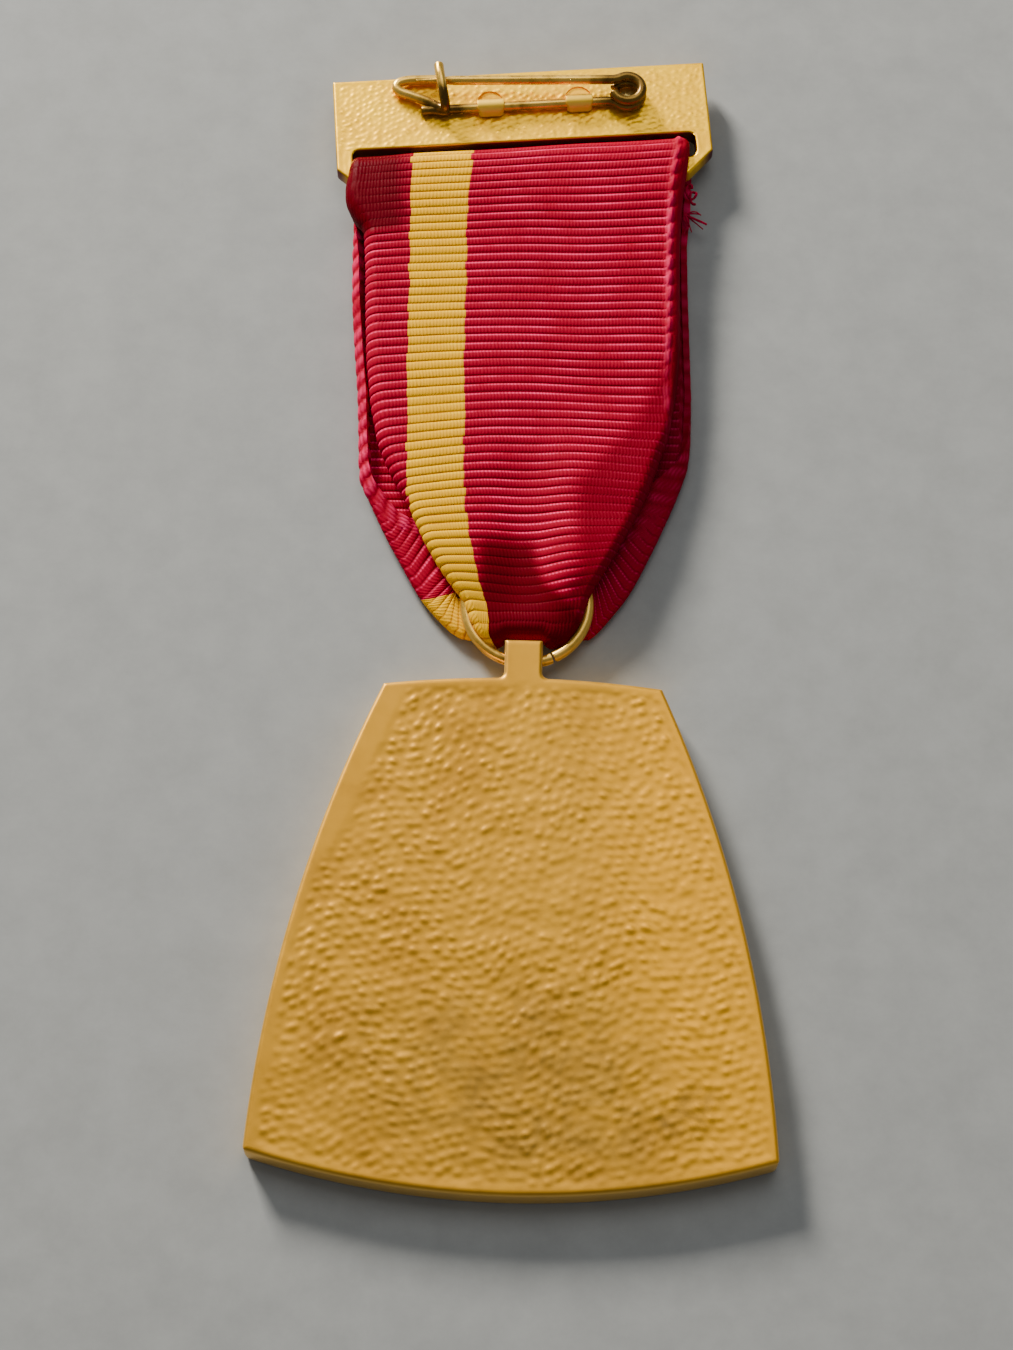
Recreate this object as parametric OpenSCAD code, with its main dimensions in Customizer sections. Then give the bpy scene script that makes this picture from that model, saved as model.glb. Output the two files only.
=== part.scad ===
// Commemorative medal on a ribbon with a pin bar, lying face down, its back up.
// Millimetres. +Y runs from the plate up to the bar, +Z up to the viewer.
// Every piece is drawn with y = 0 just below the plate's foot corners,
// and the whole is then moved so that the origin is under its middle.

/* [Medal plate] */
// Width between the foot corners
plate_w = 40.7; // [39:0.1:42]
// Width between the top corners
plate_top_w = 22.6; // [21:0.1:24]
// Height from the foot corners to the top corners
plate_side_h = 38.9; // [38:0.1:40]
// Bulge of the curved sides from a straight line between their corners
plate_side_bulge = 1.75; // [1:0.05:2.5]
// Rise of the arched top edge above its corners
plate_top_rise = 0.75; // [0.4:0.05:1]
// Drop of the bowed bottom edge below the foot corners
plate_foot_drop = 3.05; // [1.5:0.05:3.5]
// Thickness of the plate and its tab
plate_t = 2.5; // [2.3:0.1:2.7]
// Width of the plain rim round the hidden front
rim_w = 1.6; // [1:0.1:3]
// Depth of the sunk field inside that rim
field_depth = 0.4; // [0.2:0.05:0.6]

/* [Tab and ring] */
// Width of the hanging tab
tab_w = 3.1; // [2.8:0.1:3.4]
// Height of the tab above the plate's arched edge
tab_h = 3.35; // [3.3:0.05:3.6]
// Radius of the fillets where the tab meets the plate
tab_fillet = 0.6; // [0.3:0.1:0.9]
// Diameter of the hole across the tab
tab_bore_d = 1.5; // [1.4:0.05:1.6]
// Height of that hole above the plate's arched edge
tab_bore_h = 1.85; // [1.8:0.05:1.95]
// Outer diameter of the two-turn split ring
ring_outer_d = 11; // [10.9:0.05:11.1]
// Width of the ring's half-round wire, across its flat
ring_wire_w = 0.84; // [0.7:0.01:0.86]
// Height of the two turns together
ring_h = 0.96; // [0.9:0.01:1]
// Tilt of the lying ring, far side up
ring_tilt = 5; // [4.8:0.1:5.2]
// Width of the gap between a turn's cut end and the wire behind it
ring_split = 0.15; // [0.05:0.05:0.3]

/* [Ribbon] */
// Thickness of the ribbed cloth
ribbon_t = 1; // [0.8:0.05:1]
// Half width of the ribbon where it fills the slot
ribbon_slot_half_w = 14.65; // [14:0.05:14.8]
// Thickness of the folded-in corners that lie on the front layer
flap_t = 0.8; // [0.6:0.05:0.85]

/* [Pin bar] */
// Width of the bar
bar_w = 33.2; // [32.8:0.1:34]
// Height of the bar
bar_h = 11.6; // [11.4:0.1:12]
// Thickness of the bar
bar_t = 1.5; // [1.2:0.05:1.5]
// Height of the bar's hidden face above the table
bar_lift = 1.2; // [1.15:0.05:1.25]
// Size of the two cut lower corners
bar_chamfer = 2.3; // [1.5:0.1:2.6]
// Turn of the bar against the plate, in degrees
bar_turn = 5.2; // [4.8:0.1:5.6]
// Width of the ribbon slot
slot_w = 30.3; // [30.3:0.1:31]
// Height of the ribbon slot
slot_h = 2.5; // [2.4:0.05:2.6]
// Distance from the bar's top edge to the slot
slot_from_top = 7.35; // [7.3:0.05:7.45]
// Radius of the slot's corners
slot_corner = 0.6; // [0.4:0.1:1.2]

/* [Safety pin] */
// Diameter of the pin's wire
wire_d = 0.85; // [0.8:0.01:0.87]
// Mean diameter of the coil
coil_d = 2.46; // [2.3:0.01:2.6]
// Place of the coil's axis along the bar, from the bar's middle
coil_x = 9.45; // [9:0.05:9.8]
// Height of the coil's axis above the bar's middle line
coil_y = 2.4; // [2.3:0.05:2.5]
// Distance from the coil's axis to the fixed arm's middle line
arm_offset = 0.55; // [0.5:0.01:0.7]
// Distance from the coil's axis to the pin's middle line
pin_offset = 0.95; // [0.85:0.01:1.05]
// Length of the fixed arm from the coil's axis to its cut end
arm_len = 18.3; // [17.8:0.1:18.6]
// Rise from the fixed turn of the coil to the moving one
turn_rise = 0.95; // [0.93:0.01:1]
// Angle that the pin stands open against the fixed arm, in degrees
pin_angle = 3.3; // [3:0.1:3.6]
// Length of the pin from the coil's axis to its point
pin_len = 18.7; // [18.2:0.1:19]
// Length of the tapered point
point_len = 3.4; // [2.5:0.1:4.5]
// Places of the two prongs along the bar
prong_x = [-2.7, 5.15];
// Width of a prong
prong_w = 2.4; // [2:0.1:2.8]
// Thickness of a prong
prong_t = 0.55; // [0.4:0.01:0.6]

/* [Hidden] */
$fn = 48;
arc_fn = 360;
over = 0.5;

// Radius of an arc from its half chord and its rise
function arc_r(half_chord, rise) = (half_chord * half_chord + rise * rise) / (2 * rise);
function unit(v) = v / norm(v);

// Plate: four arcs through its corners
corner_y = 0.4;
foot_corner = [plate_w / 2, corner_y];
top_corner = [plate_top_w / 2, corner_y + plate_side_h];
side_chord = norm(top_corner - foot_corner);
side_out = [top_corner[1] - foot_corner[1], foot_corner[0] - top_corner[0]] / side_chord;
side_r = arc_r(side_chord / 2, plate_side_bulge);
side_mid = (foot_corner + top_corner) / 2 - side_out * (side_r - plate_side_bulge);
top_r = arc_r(plate_top_w / 2, plate_top_rise);
foot_r = arc_r(plate_w / 2, plate_foot_drop);
plate_top_y = top_corner[1] + plate_top_rise;

// Ring: the middle of its wire, and the bend of the wire within the tab's straight hole
bore_y = plate_top_y + tab_bore_h;
ring_r = (ring_outer_d - ring_wire_w) / 2;
ring_sag = tab_w * tab_w / (8 * ring_r);
ring_x = 0.15;
ring_z = plate_t / 2 + 0.12;
ring_split_deg = ring_split / ring_r * 180 / PI;
ring_joint_deg = -65;

// Bar: its middle, its slot and its upper face
bar_mid = [-1.31, 93.3];
bar_top_z = bar_lift + bar_t;
slot_top = bar_h / 2 - slot_from_top;
strip_top = slot_top - slot_h;
function on_medal(p) = [
    bar_mid[0] + p[0] * cos(bar_turn) - p[1] * sin(bar_turn),
    bar_mid[1] + p[0] * sin(bar_turn) + p[1] * cos(bar_turn)
];

// Whole: from the foot of the bow to the bar's far corner
foot_y = corner_y - plate_foot_drop;
far_y = on_medal([bar_w / 2, bar_h / 2])[1];
mid_y = (foot_y + far_y) / 2;

// Safety pin, from the bar's middle and upper face
wire_r = wire_d / 2;
wire_gap = 0.05;
arm_z = wire_r + wire_gap;
pin_z = arm_z + turn_rise;
coil_r = coil_d / 2;
arm_y = coil_y - arm_offset;
turn_sweep = 280;
crook_r = 1.6;
crook_lap = 0.1;
prong_gap = 0.07;
recess_d = 0.35;
recess_chord = 2.3;
recess_rise = 0.95;
recess_r = arc_r(recess_chord / 2, recess_rise);
recess_y = arm_y + wire_r + prong_gap + prong_t;

// The catch wire's route, by hand: pin-side leg, round bend, leg back, then the hook over the pin
catch_route = [
    [-7.3, 5.1, 0.47], [-8.6, 5.15, 0.47], [-9.9, 5.15, 0.5], [-10.7, 4.9, 0.55],
    [-10.95, 4.4, 0.58], [-10.6, 3.9, 0.6], [-9.6, 3.4, 0.6], [-8.4, 2.75, 0.65],
    [-7.3, 1.95, 0.75], [-6.8, 1.55, 1.1], [-6.75, 1.75, 1.7], [-6.85, 2.4, 2.25],
    [-6.95, 3.3, 2.5], [-7.05, 4.3, 2.58], [-7.1, 5.3, 2.45]
];
catch_sides = 10;
catch_steps = 2;

// A smooth curve through points, and the frame carried along it
function spline_point(a, b, c, d, k) =
    0.5 * (2 * b + (c - a) * k + (2 * a - 5 * b + 4 * c - d) * k * k
    + (3 * b - a - 3 * c + d) * k * k * k);
function spline(p, steps) = let (n = len(p) - 1) concat(
    [for (i = [0 : n - 1], s = [0 : steps - 1])
        spline_point(p[max(i - 1, 0)], p[i], p[i + 1], p[min(i + 2, n)], s / steps)],
    [p[n]]);
function tangent(p, i) = unit(p[min(i + 1, len(p) - 1)] - p[max(i - 1, 0)]);
function square_to(v, t) = unit(v - (v * t) * t);
function carried(p) = [
    for (i = 0, v = square_to([0, 0, 1], tangent(p, 0)); i < len(p);
        i = i + 1, v = i < len(p) ? square_to(v, tangent(p, i)) : v) v
];

// A round wire along a route
module wire_along(route, r, sides, steps) {
    p = spline(route, steps);
    up = carried(p);
    rings = [
        for (i = [0 : len(p) - 1])
            let (side = cross(tangent(p, i), up[i]))
            [for (j = [0 : sides - 1])
                p[i] + r * (cos(j * 360 / sides) * up[i] + sin(j * 360 / sides) * side)]
    ];
    last = len(p) - 1;
    polyhedron(
        [for (ring = rings, q = ring) q],
        concat(
            [[for (j = [0 : sides - 1]) j]],
            [for (i = [0 : last - 1], j = [0 : sides - 1])
                [i * sides + j, (i + 1) * sides + j,
                (i + 1) * sides + (j + 1) % sides, i * sides + (j + 1) % sides]],
            [[for (j = [sides - 1 : -1 : 0]) last * sides + j]]
        )
    );
}

// Ribbon tables. Columns: y, left edge, right edge, height of the cloth's middle,
// slope of the ribs in degrees, drop of the rolled edges
front_z = ribbon_t / 2;
back_z = bar_top_z + 0.2 + ribbon_t / 2;
front_rows = [
    [46.2, -7.5, 6.9, front_z, 0, 0],
    [48.5, -9.1, 8.35, front_z, 0, 0],
    [52.2, -11.05, 10.3, front_z, 0, 0],
    [55.9, -13.05, 11.65, front_z, 0.5, 0],
    [58.7, -14.15, 12.85, front_z, 0.5, 0],
    [62, -14.45, 13.65, front_z, 1, 0],
    [67, -14.8, 13.85, front_z, 1, 0],
    [73, -15.45, 13.6, front_z, 1.5, 0],
    [81, -15.95, 13.4, front_z, 3, 0]
];
back_rows = [
    [86.2, -15.5, 12.4, back_z, 4.5, 0.1],
    [82, -14.8, 11.1, 3.15, 3, 0.5],
    [75, -14.1, 11.3, 2.95, 1.5, 0.7],
    [66, -13.6, 11.6, 2.85, 1, 0.6],
    [61, -12.7, 11.4, 2.9, 0.5, 0.35],
    [57.5, -11, 10.5, 3, 0.5, 0.25],
    [52.5, -8, 8.5, 3.3, 0, 0.15],
    [48.5, -5.6, 6.2, 3.2, 0, 0.1]
];
// The turn through the ring. Columns: angle round the turn, left edge, right edge
ring_turn_y = 45.3;
ring_turn_z = 2.95;
ring_turn_rows = [
    [90, -4, 4.3], [120, -3.5, 3.8], [150, -3.05, 3.35], [180, -2.85, 3.15],
    [210, -3.05, 3.35], [240, -3.5, 3.8], [270, -4, 4.3]
];
// The turn through the slot, round the strip below it
slot_turn_r = (back_z - front_z) / 2;
slot_turn_y = strip_top - 0.4;
slot_turn_steps = 8;

// A station of the ribbon: middle, plan slope, direction of its outer face,
// half width and drop of the edges
function flat_station(row, face) = [
    [(row[1] + row[2]) / 2, row[0], row[3]], row[4], face, (row[2] - row[1]) / 2, row[5]
];
function slot_station(a) =
    let (p = on_medal([-0.23, slot_turn_y + slot_turn_r * cos(a)]))
    [[p[0], p[1], (front_z + back_z) / 2 + slot_turn_r * sin(a)], bar_turn, a, ribbon_slot_half_w, 0];
function ring_station(row) =
    let (r = (ring_turn_z - front_z) / 2)
    [[(row[1] + row[2]) / 2, ring_turn_y + r * cos(row[0]), front_z + r + r * sin(row[0])],
    0, row[0], (row[2] - row[1]) / 2, 0];
ribbon_stations = concat(
    [for (row = front_rows) flat_station(row, -90)],
    [for (i = [0 : slot_turn_steps]) slot_station(-90 + i * 180 / slot_turn_steps)],
    [for (row = back_rows) flat_station(row, 90)],
    [for (row = ring_turn_rows) ring_station(row)]
);
across = [-1, -0.92, -0.8, -0.55, -0.25, 0, 0.25, 0.55, 0.8, 0.92, 1];

// The closed outline of one station: outer face, then inner face
function station_outline(s) =
    let (
        along = [cos(s[1]), sin(s[1]), 0],
        out = [-sin(s[1]) * cos(s[2]), cos(s[1]) * cos(s[2]), sin(s[2])],
        n = len(across) - 1
    )
    concat(
        [for (u = across) s[0] + along * u * s[3] + out * (ribbon_t / 2 - s[4] * pow(abs(u), 6))],
        [for (i = [n : -1 : 0]) let (u = across[i])
            s[0] + along * u * s[3] + out * (-ribbon_t / 2 - s[4] * pow(abs(u), 6))]
    );

// Folded-in corners, seen from above: down the fold line, then back along the selvedge
left_flap = [
    [-14.1, 58.6], [-12, 54.1], [-10.2, 50.5], [-8.3, 47.1], [-6.9, 45.6],
    [-6, 46.6], [-5.75, 48.5], [-5.2, 50.5], [-4.4, 54.2]
];
right_flap = [
    [13.55, 61.6], [12.7, 58.5], [11.5, 55.6], [10.4, 52.7], [9.4, 50.7], [8, 47.9],
    [7, 46.4], [6.2, 46.9], [6, 49], [5.5, 51], [4.2, 56.8]
];
// Cloth pulled under the ring on both sides of the tab
left_lobe = [
    [-8, 46.9], [-7.2, 45.8], [-6.55, 44.95], [-5.5, 44.1], [-4.3, 43.65], [-3.4, 43.4],
    [-2.6, 43.15], [-1.75, 42.8], [-1.75, 44.6], [-3, 45.2], [-3.8, 46.9]
];
right_lobe = [
    [7.4, 46.9], [6.8, 46.1], [6.1, 45.25], [5.5, 44.35], [4.5, 43.75], [3.6, 43.4],
    [2.9, 43.15], [1.95, 42.8], [1.75, 44.6], [3.2, 45.2], [4.1, 46.9]
];
lobe_sink = 0.02;

// Face outline of the plate, drawn in by an inset all round
module plate_outline(inset) {
    intersection() {
        translate(side_mid) circle(r = side_r - inset, $fn = arc_fn);
        translate([-side_mid[0], side_mid[1]]) circle(r = side_r - inset, $fn = arc_fn);
        translate([0, plate_top_y - top_r]) circle(r = top_r - inset, $fn = arc_fn);
        translate([0, foot_y + foot_r]) circle(r = foot_r - inset, $fn = arc_fn);
    }
}

// Tab with a hollow fillet on each side at its root
module tab_outline() {
    foot = plate_top_y - over;
    fillet_y = plate_top_y + tab_fillet - 0.02;
    difference() {
        union() {
            translate([-tab_w / 2, foot]) square([tab_w, tab_h + over]);
            translate([-tab_w / 2 - tab_fillet, foot]) square([tab_w + 2 * tab_fillet, fillet_y - foot]);
        }
        for (side = [-1, 1])
            translate([side * (tab_w / 2 + tab_fillet), fillet_y]) circle(r = tab_fillet);
    }
}

module medal_plate() {
    color([0.78, 0.6, 0.26]) difference() {
        linear_extrude(plate_t) union() {
            plate_outline(0);
            tab_outline();
        }
        translate([0, 0, -over]) linear_extrude(field_depth + over) plate_outline(rim_w);
        translate([-tab_w, bore_y, plate_t / 2]) rotate([0, 90, 0]) cylinder(d = tab_bore_d, h = 2 * tab_w);
    }
}

// Half-round section of one turn, its flat on the seam between the turns
module turn_section() {
    wall = ring_h / 2 - ring_wire_w / 2;
    translate([ring_r, wall]) difference() {
        circle(d = ring_wire_w, $fn = 32);
        translate([-ring_wire_w, -2 * ring_wire_w]) square(2 * ring_wire_w);
    }
    translate([ring_r - ring_wire_w / 2, 0]) square([ring_wire_w, wall]);
}

// The split ring lies tilted in the tab's hole, the cut ends of its turns beside the tab
module ring() {
    color([0.8, 0.62, 0.3])
        translate([ring_x, bore_y, ring_z]) rotate([ring_tilt, 0, 0])
            translate([0, ring_r - ring_sag / 2, 0]) union() {
                rotate([0, 0, ring_joint_deg])
                    rotate_extrude(angle = 360 - ring_split_deg, $fn = 96) turn_section();
                mirror([0, 0, 1]) rotate([0, 0, ring_joint_deg])
                    rotate_extrude(angle = 360 - 2 * ring_split_deg, $fn = 96) turn_section();
            }
}

module ribbon() {
    outlines = [for (s = ribbon_stations) station_outline(s)];
    m = len(outlines);
    n = len(outlines[0]);
    color([0.72, 0.03, 0.16]) union() {
        polyhedron(
            [for (outline = outlines, q = outline) q],
            [for (i = [0 : m - 1], j = [0 : n - 1], half = [0, 1])
                let (a = i * n + j, b = i * n + (j + 1) % n, k = (i + 1) % m)
                half == 0 ? [a, b, k * n + j] : [b, k * n + (j + 1) % n, k * n + j]]
        );
        for (flap = [left_flap, right_flap])
            translate([0, 0, ribbon_t - 0.05]) linear_extrude(flap_t) polygon(flap);
        for (lobe = [left_lobe, right_lobe])
            translate([0, 0, lobe_sink]) linear_extrude(ribbon_t - 2 * lobe_sink) polygon(lobe);
    }
}

// Draws its children from the bar's middle, on the bar's upper face
module on_bar() {
    translate([bar_mid[0], bar_mid[1], bar_top_z]) rotate([0, 0, bar_turn]) children();
}

module slot_outline() {
    r = slot_corner;
    translate([-slot_w / 2 + r, strip_top]) square([slot_w - 2 * r, slot_h]);
    translate([-slot_w / 2, strip_top + r]) square([slot_w, slot_h - 2 * r]);
    for (x = [r - slot_w / 2, slot_w / 2 - r], y = [strip_top + r, slot_top - r])
        translate([x, y]) circle(r = r);
}

// A prong lanced out of the bar and bent over the fixed arm, its free side towards the ribbon
module prong() {
    inner = wire_r + prong_gap;
    outer = inner + prong_t;
    translate([-prong_w / 2, arm_y, arm_z]) rotate([0, 90, 0]) difference() {
        union() {
            intersection() {
                cylinder(r = outer, h = prong_w);
                translate([-2 * outer, -2 * outer, -over]) cube([2 * outer, 4 * outer, prong_w + 2 * over]);
            }
            translate([0, inner, 0]) cube([arm_z + 0.2, prong_t, prong_w]);
            translate([0, -outer, 0]) cube([arm_z * 0.6, prong_t, prong_w]);
        }
        translate([0, 0, -over]) cylinder(r = inner, h = prong_w + 2 * over);
    }
}

// The shallow round-topped place that a prong was lanced from
module recess() {
    translate([0, recess_y, -recess_d]) linear_extrude(recess_d + over) intersection() {
        translate([0, recess_rise - recess_r]) circle(r = recess_r);
        translate([-recess_chord, 0]) square([2 * recess_chord, recess_chord]);
    }
}

module pin_bar() {
    color([0.84, 0.68, 0.34]) on_bar() union() {
        difference() {
            translate([0, 0, -bar_t]) linear_extrude(bar_t) difference() {
                polygon([
                    [-bar_w / 2, bar_h / 2], [-bar_w / 2, bar_chamfer - bar_h / 2],
                    [bar_chamfer - bar_w / 2, -bar_h / 2], [bar_w / 2 - bar_chamfer, -bar_h / 2],
                    [bar_w / 2, bar_chamfer - bar_h / 2], [bar_w / 2, bar_h / 2]
                ]);
                slot_outline();
            }
            for (x = prong_x) translate([x, 0, 0]) recess();
        }
        for (x = prong_x) translate([x, 0, 0]) prong();
    }
}

// Coil turn and the arm that leaves it, in the plane of the turn and from the coil's axis:
// the wire comes over the top, crooks back and runs along -X at the offset above the axis.
// The crook is a hair thinner and laps inside the wire before and after it.
module coiled_arm(offset, length) {
    crook = acos(1 - (coil_r - offset) / (coil_r + crook_r));
    start_x = (coil_r + crook_r) * sin(crook);
    lap = crook_lap / crook_r * 180 / PI;
    rotate([0, 0, 90 + crook - turn_sweep])
        rotate_extrude(angle = turn_sweep, $fn = 96) translate([coil_r, 0]) circle(r = wire_r, $fn = 32);
    translate([-start_x, offset + crook_r, 0]) rotate([0, 0, -90 - lap])
        rotate_extrude(angle = crook + 2 * lap, $fn = 96)
            translate([crook_r, 0]) circle(r = wire_r - crook_lap / 10, $fn = 32);
    translate([-length, offset, 0]) rotate([0, 90, 0])
        cylinder(r = wire_r, h = length - start_x, $fn = 32);
}

// Fixed wire: lower turn and arm with its cut end, and the soldered catch
module pin_wire() {
    color([0.62, 0.46, 0.2]) on_bar() union() {
        translate([coil_x, coil_y, arm_z]) mirror([0, 1, 0]) coiled_arm(arm_offset, arm_len);
        wire_along(catch_route, wire_r, catch_sides, catch_steps);
    }
}

// Moving wire: upper turn, the arm and its tapered point
module pin_arm() {
    color([0.66, 0.5, 0.24]) on_bar()
        translate([coil_x, coil_y, pin_z]) rotate([0, 0, -pin_angle]) union() {
            coiled_arm(pin_offset, pin_len - point_len);
            translate([point_len - pin_len, pin_offset, 0]) rotate([0, -90, 0])
                cylinder(r1 = wire_r, r2 = 0.08, h = point_len, $fn = 32);
        }
}

// The whole, moved so that the origin lies under its middle
module whole() {
    translate([0, -mid_y, 0]) children();
}

whole() medal_plate();
whole() ring();
whole() ribbon();
whole() pin_bar();
whole() pin_wire();
whole() pin_arm();
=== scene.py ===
import bpy
import bmesh
import math
import numpy as np
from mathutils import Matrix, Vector, noise


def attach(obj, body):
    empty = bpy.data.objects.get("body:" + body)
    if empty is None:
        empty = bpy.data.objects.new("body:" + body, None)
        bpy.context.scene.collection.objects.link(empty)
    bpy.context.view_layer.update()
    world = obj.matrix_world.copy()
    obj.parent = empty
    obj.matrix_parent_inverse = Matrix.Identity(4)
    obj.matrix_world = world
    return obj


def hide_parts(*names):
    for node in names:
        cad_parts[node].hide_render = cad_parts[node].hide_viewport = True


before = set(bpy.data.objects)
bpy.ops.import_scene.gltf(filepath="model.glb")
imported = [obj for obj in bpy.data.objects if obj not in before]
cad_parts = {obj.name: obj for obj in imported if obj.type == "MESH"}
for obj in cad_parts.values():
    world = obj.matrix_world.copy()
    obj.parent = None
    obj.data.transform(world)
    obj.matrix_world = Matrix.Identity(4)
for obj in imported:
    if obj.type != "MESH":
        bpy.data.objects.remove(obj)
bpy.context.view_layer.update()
mm = .001
midY = 48.965315        # the drawing's y starts near the plate's lower corners, the frame's origin under its middle
barAt, barTurn = (-1.31, 93.3, 2.7), 5.2        # the middle of the bar's upper face, and its turn
print("frame loaded:", sorted(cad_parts))


# small helpers; pieces are drawn in millimetres and brought to metres by layDown
def clearSelection():
    if bpy.context.object and bpy.context.object.mode != "OBJECT":
        bpy.ops.object.mode_set(mode="OBJECT")
    bpy.ops.object.select_all(action="DESELECT")


def pickOnly(obj):
    clearSelection()
    obj.select_set(True)
    bpy.context.view_layer.objects.active = obj


def startEdit(obj, mode="EDGE", pick="DESELECT"):
    pickOnly(obj)
    bpy.ops.object.mode_set(mode="EDIT")
    bpy.ops.mesh.select_mode(type=mode)
    bpy.ops.mesh.select_all(action=pick)


def selectWhere(obj, kind, test):
    bm = bmesh.from_edit_mesh(obj.data)
    for part in getattr(bm, kind):
        if test(part):
            part.select_set(True)
    bmesh.update_edit_mesh(obj.data)


def moveSelected(obj, rule):
    bm = bmesh.from_edit_mesh(obj.data)
    for v in bm.verts:
        if v.select:
            v.co = rule(v.co)
    bmesh.update_edit_mesh(obj.data)


def endEdit():
    bpy.ops.object.mode_set(mode="OBJECT")


def pullOut(*way):
    bpy.ops.mesh.extrude_region_move(TRANSFORM_OT_translate={"value": way})


def settle():
    # a piece's place, turn and scale go into its mesh
    bpy.ops.object.transform_apply(location=True, rotation=True, scale=True)


def applyAll(obj):
    pickOnly(obj)
    for m in list(obj.modifiers):
        bpy.ops.object.modifier_apply(modifier=m.name)


def combine(obj, other, how="DIFFERENCE"):
    # other is cut out of obj, or melted into it
    step = obj.modifiers.new("step", "BOOLEAN")
    step.operation, step.solver, step.object = how, "EXACT", other
    applyAll(obj)
    bpy.data.objects.remove(other)


def dulled(obj, width, segments, angle):
    edge = obj.modifiers.new("edge", "BEVEL")
    edge.width, edge.segments = width, segments
    edge.limit_method, edge.angle_limit = "ANGLE", math.radians(angle)
    applyAll(obj)


def outwards(obj):
    startEdit(obj, "VERT", "SELECT")
    bpy.ops.mesh.remove_doubles(threshold=1e-4)
    bpy.ops.mesh.normals_make_consistent(inside=False)
    endEdit()


def joinTo(first, *others):
    pickOnly(first)
    for o in others:
        o.select_set(True)
    bpy.ops.object.join()
    return first


def layDown(obj, name, body, finish, smooth=35):
    pickOnly(obj)
    settle()
    obj.scale = (mm, mm, mm)
    obj.location = (0, -midY * mm, 0)
    settle()
    bpy.ops.object.shade_smooth_by_angle(angle=math.radians(smooth))
    obj.name = name
    obj.data.name = name
    obj.data.materials.clear()
    obj.data.materials.append(finish)
    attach(obj, body)
    print(f"  {name}: {sum(len(p.vertices) - 2 for p in obj.data.polygons)} triangles")
    return obj


def gridOf(columns, rows):
    # a flat grid, with the column and the row of each point
    clearSelection()
    bpy.ops.mesh.primitive_grid_add(x_subdivisions=columns, y_subdivisions=rows, size=2, location=(0, 0, 0))
    obj = bpy.context.object
    x, y = pointsOf(obj)[:, :2].T
    return obj, *(np.round((k + 1) / 2 * count).astype(int) for k, count in ((x, columns), (y, rows)))


def pointsOf(obj):
    co = np.empty(len(obj.data.vertices) * 3)
    obj.data.vertices.foreach_get("co", co)
    return co.reshape(-1, 3)


def putPoints(obj, x, y, z):
    obj.data.vertices.foreach_set("co", np.stack(np.broadcast_arrays(x, y, z), 1).astype(float).ravel())
    obj.data.update()


def spun(x, y, degrees):
    a = math.radians(degrees)
    return x * math.cos(a) - y * math.sin(a), x * math.sin(a) + y * math.cos(a)


def smoothStep(x, low, high):
    # rises from low to high, or falls where low is the greater
    t = np.clip((np.asarray(x, float) - low) / (high - low), 0, 1)
    return t * t * (3 - 2 * t)


def stops(length, count, margins):
    # places from 0 to length with close ones at both ends, for rounded edges
    inner = np.linspace(margins[-1], length - margins[-1], count - 2 * (len(margins) - 1) + 1)
    return np.concatenate([margins[:-1], inner, length - np.array(margins[:-1])[::-1]])


def bentWire(route, radius, thin=None):
    # a round wire along a route, its cut ends slightly dulled
    route = [Vector(q) for q in route]
    thin = thin or [1] * len(route)
    first, last = (route[1] - route[0]).normalized(), (route[-2] - route[-1]).normalized()
    route = [route[0], route[0] + first * .03, route[0] + first * .09, *route[1:-1],
             route[-1] + last * .09, route[-1] + last * .03, route[-1]]
    thin = [.84 * thin[0], .95 * thin[0], thin[0], *thin[1:-1], thin[-1], .95 * thin[-1], .84 * thin[-1]]
    data = bpy.data.curves.new("wire", "CURVE")
    data.dimensions, data.bevel_depth, data.bevel_resolution, data.use_fill_caps = "3D", radius, 5, True
    line = data.splines.new("POLY")
    line.points.add(len(route) - 1)
    for spot, q, size in zip(line.points, route, thin):
        spot.co = (*q, 1)
        spot.radius = size
    obj = bpy.data.objects.new("wire", data)
    bpy.context.scene.collection.objects.link(obj)
    pickOnly(obj)
    bpy.ops.object.convert(target="MESH")
    obj = bpy.context.object
    outwards(obj)
    return obj


# finishes
def newFinish(name):
    mat = bpy.data.materials.new(name)
    mat.use_nodes = True
    mat.node_tree.nodes.clear()
    return mat


def nodeIn(mat, kind, settings=None, **inputs):
    # a shader node; an input goes by its label, or by its number as n0, n1
    made = mat.node_tree.nodes.new("ShaderNode" + kind)
    for key, value in (settings or {}).items():
        setattr(made, key, value)
    for key, value in inputs.items():
        numbered = key[0] == "n" and key[1:].isdigit()
        socket = made.inputs[int(key[1:]) if numbered else key.replace("_", " ")]
        if hasattr(value, "is_output"):
            mat.node_tree.links.new(value, socket)
        else:
            socket.default_value = value
    return made


def ramp(mat, factor, marks):
    made = nodeIn(mat, "ValToRGB", Fac=factor)
    band = made.color_ramp
    band.elements[0].position, band.elements[0].color = marks[0][0], (*marks[0][1], 1)
    band.elements[1].position, band.elements[1].color = marks[-1][0], (*marks[-1][1], 1)
    for spot, colour in marks[1:-1]:
        band.elements.new(spot).color = (*colour, 1)
    return made.outputs["Color"]


def mix(mat, factor, a, b):
    a, b = (q if hasattr(q, "is_output") else (*q, 1) for q in (a, b))
    return nodeIn(mat, "Mix", {"data_type": "RGBA"}, n0=factor, n6=a, n7=b).outputs[2]


def maths(mat, how, a, b=0.0):
    return nodeIn(mat, "Math", {"operation": how}, n0=a, n1=b).outputs[0]


def times(mat, a, b):
    return maths(mat, "MULTIPLY", a, b)


def plus(mat, a, b):
    return maths(mat, "ADD", a, b)


def ranged(mat, value, low, high, toLow, toHigh):
    return nodeIn(mat, "MapRange", Value=value, n1=low, n2=high, n3=toLow, n4=toHigh).outputs[0]


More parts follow.
